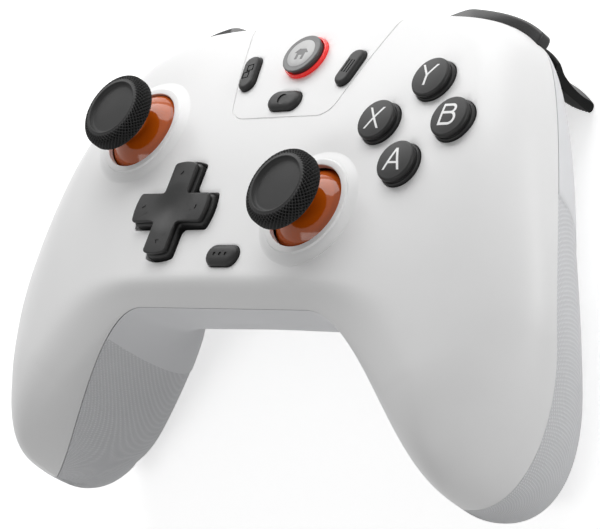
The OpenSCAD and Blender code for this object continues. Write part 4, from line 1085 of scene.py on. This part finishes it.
low, high, stroke, slant = -2.5, 2.5, 0.58, 0.6
upper_bowl = [(-1.7, 2.21), (-0.6, 2.21), *arc((0.55, 1.31), 0.9, 90, -90, 16), (-0.6, 0.41), (-1.7, 0.41)]
lower_bowl = [(-1.7, 0.41), (-0.6, 0.41), *arc((0.62, -0.9), 1.31, 90, -90, 16)]
lower_bowl += [(-0.6, -2.21), (-1.7, -2.21)]
LETTERS = {
    "a": [leg((-2.0, low), (0, high), slant), leg((2.0, low), (0, high), slant),
          ribbon([(-1.4, -0.85), (1.4, -0.85)], 0.46)],
    "b": [leg((-1.7, low), (-1.7, high), stroke), ribbon(upper_bowl, stroke), ribbon(lower_bowl, stroke)],
    "x": [leg((-1.8, low), (1.8, high), slant), leg((1.8, low), (-1.8, high), slant)],
    "y": [leg((0, low), (0, 0.2), stroke), leg((0, -0.1), (-1.95, high), slant),
          leg((0, -0.1), (1.95, high), slant)],
}
LETTER_AT = {"a": (-0.05, 0.2), "b": (0, 0.25), "x": (-0.05, 0.1), "y": (-0.5, 0.25)}
for letter, place in BUTTON_AT.items():
    body = f"button_{letter}"
    dress(solid(f"{body}_cap", face_button(*place)), "control_charcoal", body, body)
    top = face_z(*place) + BUTTON_TOP
    plans = [plan + place + LETTER_AT[letter] for plan in LETTERS[letter]]
    strokes = [slab(plan, top - LETTER_D, top + 1) for plan in plans]
    legend = join(solid(f"{body}_letter", strokes[0]), strokes[1:])
    combine(legend, [solid("crown", face_button(*place, lift=LETTER_PROUD))], "INTERSECT")
    dress(legend, "legend_white", body)

# %% [markdown]
# ## The D-pad
# The D-pad is a thin top plate on a wider base, with a dark step between them. Its top is dished round
# the middle, so a thumb can roll on it, and a small mark is pressed into each arm.

# %% D-pad
DPAD_TOP, DISH_R, DISH_D, MARK_D = 2.2, 6.6, 0.62, 0.14
FOOT_AT, FOOT_R = 7.8, 2


def dpad_shape():
    """Base, dark step and top plate of the D-pad."""
    base = cross_outline(DPAD_HALF + DPAD_STEP, DPAD_ARM + 2 * DPAD_STEP, 1.5, 0.4)
    plate = cross_outline(DPAD_HALF, DPAD_ARM, 0.9, 0.6)
    bend = np.radians(np.linspace(0, 80, 7))
    foot = [(base, 1.2, -5.1), (base, 1.2, -4.5), (base, 0, -4.5), (base, 0, -3)]
    side = [(base, 0.6 * (math.cos(a) - 1) - 0.2, 0.4 + 0.6 * math.sin(a)) for a in bend]
    step = [(plate, -0.35, 1.02), (plate, -0.35, 1.35), (plate, -0.08, 1.45)]
    edge = [(plate, 0, 1.58), (plate, 0, 1.95), (plate, -0.07, 2.1), (plate, -0.2, 2.18)]
    edge += [(plate, -0.36, DPAD_TOP)]
    rings = []
    for outline, grow, height in foot + side + step + edge:
        x, y = outline(grow).T
        rings.append(np.column_stack([x + DPAD[0], y + DPAD[1], np.full(len(x), height)]))
    return loft(rings)


def dish_cutter(radius, depth):
    """A turned cutter that leaves a soft hollow in the middle of the top plate."""
    hollow = [(r, DPAD_TOP - depth * (1 - smooth(r, 0, radius))) for r in np.linspace(0, radius, 28)]
    return lathe([*hollow, (radius, DPAD_TOP + 0.01), (radius, 5), (0, 5)], (*DPAD, 0), 96)


def arrow(angle):
    """A small triangular mark near the end of an arm."""
    c, s = math.cos(angle), math.sin(angle)
    plan = np.array([(8.9, 0), (7.9, 0.6), (7.9, -0.6)]) @ np.array([[c, s], [-s, c]])
    return slab(plan + DPAD, DPAD_TOP - MARK_D, 3)


dpad = solid("dpad_cross", dpad_shape())
feet_at = FOOT_AT * np.array([(1, 0), (0, 1), (-1, 0), (0, -1)]) + DPAD
feet = [rod(place, FOOT_R, FOOT_LOW, DPAD_PIVOT) for place in feet_at]
join(dpad, feet)
socket = [(0, -20), (3.2, -20), (3.2, DPAD_PIVOT)] + arc((0, DPAD_PIVOT), 2.05, 0, 90, 12)
marks = [arrow(k * math.pi / 2) for k in range(4)]
cut(dpad, [dish_cutter(DISH_R, DISH_D), *marks, lathe(socket, (*DPAD, 0), 48)])
dress(dpad, "control_charcoal", "dpad", "dpad")

# %% [markdown]
# ## Small keys
# Four small keys are bars with round ends and soft edges. Their marks are pressed into the top: three
# lines, two squares, a round dimple and a row of dots.

# %% Small keys
KEY_TOP = 1.25
CROWN = {"share_button": 1.9, "macro_button": 1.9, "view_button": 1, "menu_button": 1}


def small_key(name):
    """Flange, bar, rounded crown and foot of a small key."""
    place, size, turn = KEYS[name]
    z = face_z(*place)
    share = np.linspace(0, 1, 12)[:-1] ** 1.6
    crown = [(-CROWN[name] * s, 0.25 + (KEY_TOP - 0.25) * swell(s, 2.4)) for s in share]
    levels = [(0.9, -4.3), (0.9, -3.3), (0, -3.3), *crown, (-CROWN[name], KEY_TOP)]
    shape = stack(capsule_outline(size), levels, (*place, z), turn)
    key = solid(f"{name}_cap", follow_face(shape, place, -2.5, -0.5))
    return join(key, [rod(place, 1.5, -10, z - 4)])


def pressed(name, plans, depth=0.2):
    """Cutters for marks pressed into a key, drawn along the key's own length."""
    place, _, turn = KEYS[name]
    c, s = math.cos(turn), math.sin(turn)
    top = face_z(*place) + KEY_TOP
    slabs = [slab(plan @ np.array([[c, s], [-s, c]]) + place, top - depth, top + 1) for plan in plans]
    return [follow_face(shape, place) for shape in slabs]


def bar(x, y, length, width):
    """A straight mark."""
    return np.array([(x - length / 2, y - width / 2), (x + length / 2, y - width / 2),
                     (x + length / 2, y + width / 2), (x - length / 2, y + width / 2)])


def frame_of(x, y, size, line):
    """Four bars round a square."""
    half = size / 2
    return [bar(x, y + half, size + line, line), bar(x, y - half, size + line, line),
            bar(x + half, y, line, size - line), bar(x - half, y, line, size - line)]


MARKS = {
    "menu_button": pressed("menu_button", [bar(0, y, 3.4, 0.32) for y in (-0.85, 0, 0.85)]),
    "view_button": pressed("view_button",
                           frame_of(-0.75, 0.35, 1.5, 0.28) + frame_of(1.1, -0.4, 1.5, 0.28)),
    "share_button": pressed("share_button", [round_outline(1.3, 40)(0)], 0.25),
    "macro_button": pressed("macro_button", [round_outline(0.42, 24)(0) + (x, 0) for x in (-1.7, 0, 1.7)]),
}
for name, marks in MARKS.items():
    dress(cut(small_key(name), marks), "control_charcoal", name, name)

# %% [markdown]
# ## The home button and its light
# The home button stands in a red light ring. Its top carries a pale disc, and a plain house shape in it
# shows the dark button below.

# %% Home button
HOME = (0, HOME_Y, face_z(0, HOME_Y))
HOME_R, EMBLEM_R = 4.6, 3.6
home_profile = [(0, 2.2), (EMBLEM_R + 0.1, 2.2), (4.6, 2.19)] + arc((4.65, 1.9), 0.3, 85, -60, 9)
home_profile += [(HOME_R, 1.5), (HOME_R, -5), (5.8, -5), (5.8, -6), (1.5, -6)]
home_profile += [(1.5, -10 - HOME[2]), (0, -10 - HOME[2])]


def home_shape(profile, **kind):
    """A turned piece of the home button that leans with the face."""
    return follow_face(lathe(profile, HOME, **kind), HOME[:2], -2.5, -0.5)


dress(solid("home_button_cap", home_shape(home_profile)), "home_grey", "home_button", "home_button")
ring_profile = [(4.9, -4.6), (6.6, -4.6), (6.6, -3.6), (LIGHT_R, -3.6)] + arc((5.2, 0.7), 0.2, 0, 90, 5)
ring_profile += arc((5.05, 0.75), 0.15, 90, 180, 4)
dress(solid("home_light", home_shape(ring_profile, loop=True)), "light_red", "case", "home_light_ring")
emblem_profile = [(0, 2.1), (EMBLEM_R, 2.1), (EMBLEM_R, 2.22), (EMBLEM_R - 0.04, 2.24), (0, 2.24)]
house = np.array([(-1.25, -1.7), (-1.25, 0.1), (-2.1, 0.1), (0, 2.1), (2.1, 0.1), (1.25, 0.1), (1.25, -1.7),
                  (0.45, -1.7), (0.45, -0.5), (-0.45, -0.5), (-0.45, -1.7)])
emblem = solid("home_emblem", home_shape(emblem_profile))
cut(emblem, [slab(house + (0, HOME_Y), HOME[2] + 2, HOME[2] + 3)])
dress(emblem, "emblem_pale", "home_button")

# %% [markdown]
# ## Bumpers
# A bumper is a glossy bar that follows the shoulder. It could be cut from a block, but a section carried
# along the seam lets its top fall with the seam and its end thin out.

# %% Bumpers
def bumper_section(u):
    """Section of a bumper: a bar with rounded edges that thins out at both ends."""
    rise = smooth(u, BUMPER_FROM - 0.01, BUMPER_FROM + 0.05)
    last = float(np.clip((u - BUMPER_END + BUMPER_ROUND) / BUMPER_ROUND, 0, 1))
    out, edge = BUMPER_PROUD * rise * math.sqrt(1 - last ** 2), BUMPER_EDGE
    high, low, front, back = bumper_top(u), bumper_low(u), out - edge, edge - BUMPER_INSET
    section = []
    for across, height, turn in ((front, low + edge, -90), (front, high - edge, 0), (back, high - edge, 90),
                                 (back, low + edge, 180)):
        section += arc((across, height), edge, turn, turn + 90, 6)
    return section


bumper_stations = BUMPER_FROM + (BUMPER_END - BUMPER_FROM) * np.sin(np.linspace(0, math.pi / 2, 60))
for side, sign in (("left", -1), ("right", 1)):
    bumper = solid(f"{side}_bumper_bar", mirrored(along_seam(bumper_stations, bumper_section), sign))
    knuckle = rod(bumper_hinge, HINGE_R, -BUMPER_TOP - BUMPER_H, -BUMPER_TOP)
    join(bumper, [mirrored(knuckle, sign)])
    dress(bumper, "shoulder_black", f"{side}_bumper", f"{side}_bumper")

# %% [markdown]
# ## Triggers
# A trigger is a curved blade that a finger pulls, on a hub that turns on a pin. The blade is lofted
# along the shoulder through a section with a hollow for the finger, and a closed spline smooths it.

# %% Triggers
def spline(points, steps):
    """A closed Catmull-Rom spline through points."""
    p = np.asarray(points, float)
    before, after, beyond = np.roll(p, 1, 0), np.roll(p, -1, 0), np.roll(p, -2, 0)
    curve = []
    for t in np.linspace(0, 1, steps, endpoint=False):
        curve.append(0.5 * (2 * p + (after - before) * t + (2 * before - 5 * p + 4 * after - beyond) * t * t
                            + (3 * p - before - 3 * after + beyond) * t ** 3))
    return np.stack(curve, 1).reshape(-1, p.shape[1])


def trigger_section(u):
    """Section of the trigger's blade at one place along the shoulder."""
    x, y, _ = outer(u)
    share = (u - TRIGGER_FROM) / (TRIGGER_TO - TRIGGER_FROM)
    end = -27.5 - 5.1 * smooth(share, 0, 1)
    deep = end - TRIGGER_TOP
    root = TRIGGER_Y + 3.1
    finger = [(0.2, 0.02), (-1.2, 0.22), (-2, 0.47), (-2.1, 0.72), (-1.7, 0.95)]
    heel = [(-2.6, 0), (-4, 0.6), (-6.2, 3.4)]
    section = [(y + out, TRIGGER_TOP + deep * down) for out, down in finger]
    section += [(y + out, end + up) for out, up in heel]
    section += [(root, TRIGGER_Z - 3.1), (root, TRIGGER_TOP)]
    smoothed = spline(section, 6)
    smoothed[:, 0] = np.maximum(smoothed[:, 0], root)
    smoothed[:, 1] = np.minimum(smoothed[:, 1], TRIGGER_TOP)
    return np.column_stack([np.full(len(smoothed), x), smoothed])


blade = loft([trigger_section(u) for u in np.linspace(TRIGGER_FROM, TRIGGER_TO, 36)])
for side, sign in (("left", -1), ("right", 1)):
    trigger = solid(f"{side}_trigger_blade", mirrored(blade, sign))
    join(trigger, [mirrored(rod_x(HUB_R, HUB_FROM, HUB_TO), sign)])
    bores = [rod_x(PIN_R, 0, FAR), rod_x(EAR_R + 0.5, 0, HUB_FROM + 3.3), rod_x(3.8, HUB_TO, FAR)]
    cut(trigger, [mirrored(bore, sign) for bore in bores])
    dress(trigger, "trigger_black", f"{side}_trigger", f"{side}_trigger")

# %% [markdown]
# ## What stays inside
# The board, the battery, the motors and the gimbals keep their construction shapes, because those are
# already right. Each only gets the finish of its kind.

# %% Finish the inner nodes
INNER = {
    "inner_plastic": ["stick_module", "stick_yoke", "dpad_post", "dpad_pivot", "trigger_bracket",
                      "tact_switches"],
    "steel": ["stick_shaft", "trigger_pin", "trigger_spring", "rumble_motor", "usb_port", "case_screws",
              "board_screws"],
    "mat_rubber": ["membrane"],
    "board_green": ["main_board"],
    "battery_wrap": ["battery"],
    "weight_metal": ["rumble_weight"],
}
finished = 0
for name, node in frame["nodes"].items():
    if node.hide_render:
        continue
    kind = next(kind for kind, words in INNER.items() if any(word in name for word in words))
    node.data.materials.clear()
    node.data.materials.append(FINISH[kind])
    finished += 1
print("inner nodes finished:", finished)

# %% [markdown]
# ## Table and light
# The pad lies on a plain pale table in soft studio light: one large panel above, a narrow one in front, one
# at the side, and an even sky. To the camera the table is nearly white, yet it keeps the pad's shadow.

# %% Table
def looked_at(tree):
    """A socket that is 1 for a ray that shows things, and 0 for one that only gathers light."""
    path = tree.nodes.new("ShaderNodeLightPath")
    seen = math_node(tree, "MAXIMUM", path.outputs["Is Camera Ray"], path.outputs["Is Glossy Ray"])
    return math_node(tree, "MAXIMUM", seen, path.outputs["Is Transmission Ray"])


TABLE_HALF, TABLE_GAP, TABLE_GLOW = 3, 0.0002, 0.62
table_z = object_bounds()[0].z - TABLE_GAP
table_mesh = bpy.data.meshes.new("table")
ring = [(-TABLE_HALF, -TABLE_HALF, 0), (TABLE_HALF, -TABLE_HALF, 0), (TABLE_HALF, TABLE_HALF, 0),
        (-TABLE_HALF, TABLE_HALF, 0)]
table_mesh.from_pydata(ring, [], [(0, 1, 2, 3)])
table = bpy.data.objects.new("table", table_mesh)
table.location.z = table_z
scene.collection.objects.link(table)
table_finish = bpy.data.materials.new("table_finish")
table_finish.use_nodes = True
tree = table_finish.node_tree
table_shader = tree.nodes["Principled BSDF"]
table_shader.inputs["Base Color"].default_value = (0.85, 0.85, 0.85, 1)
table_shader.inputs["Roughness"].default_value = 0.9
table_shader.inputs["Emission Color"].default_value = (1, 1, 1, 1)
glow = math_node(tree, "MULTIPLY", looked_at(tree), TABLE_GLOW)
tree.links.new(glow, table_shader.inputs["Emission Strength"])
table_mesh.materials.append(table_finish)

# %% Light
world = bpy.data.worlds.new("studio")
scene.world = world
world.use_nodes = True
tree = world.node_tree
sky = tree.nodes["Background"]
sky.inputs["Color"].default_value = (1, 1, 1, 1)
SKY_LIGHT = 0.28
tree.links.new(math_node(tree, "MAXIMUM", looked_at(tree), SKY_LIGHT), sky.inputs["Strength"])


def panel(name, place, aim, size, power):
    """A rectangular soft light that looks at a point."""
    data = bpy.data.lights.new(name, "AREA")
    data.shape = "RECTANGLE"
    data.size, data.size_y = size
    data.energy = power
    light = bpy.data.objects.new(name, data)
    light.location = placed([place])[0]
    aimed = Vector(placed([aim])[0]) - light.location
    light.rotation_euler = aimed.to_track_quat("-Z", "Y").to_euler()
    scene.collection.objects.link(light)


AIM = (0, 0, -10)
PANELS = {
    "key_panel": ((-170, 440, 330), (0.8, 0.4), 3.5),
    "front_panel": ((0, -430, 420), (0.5, 0.14), 0.6),
    "side_panel": ((540, 230, 0), (0.5, 0.2), 2.5),
}
for name, (place, size, power) in PANELS.items():
    panel(name, place, AIM, size, power)
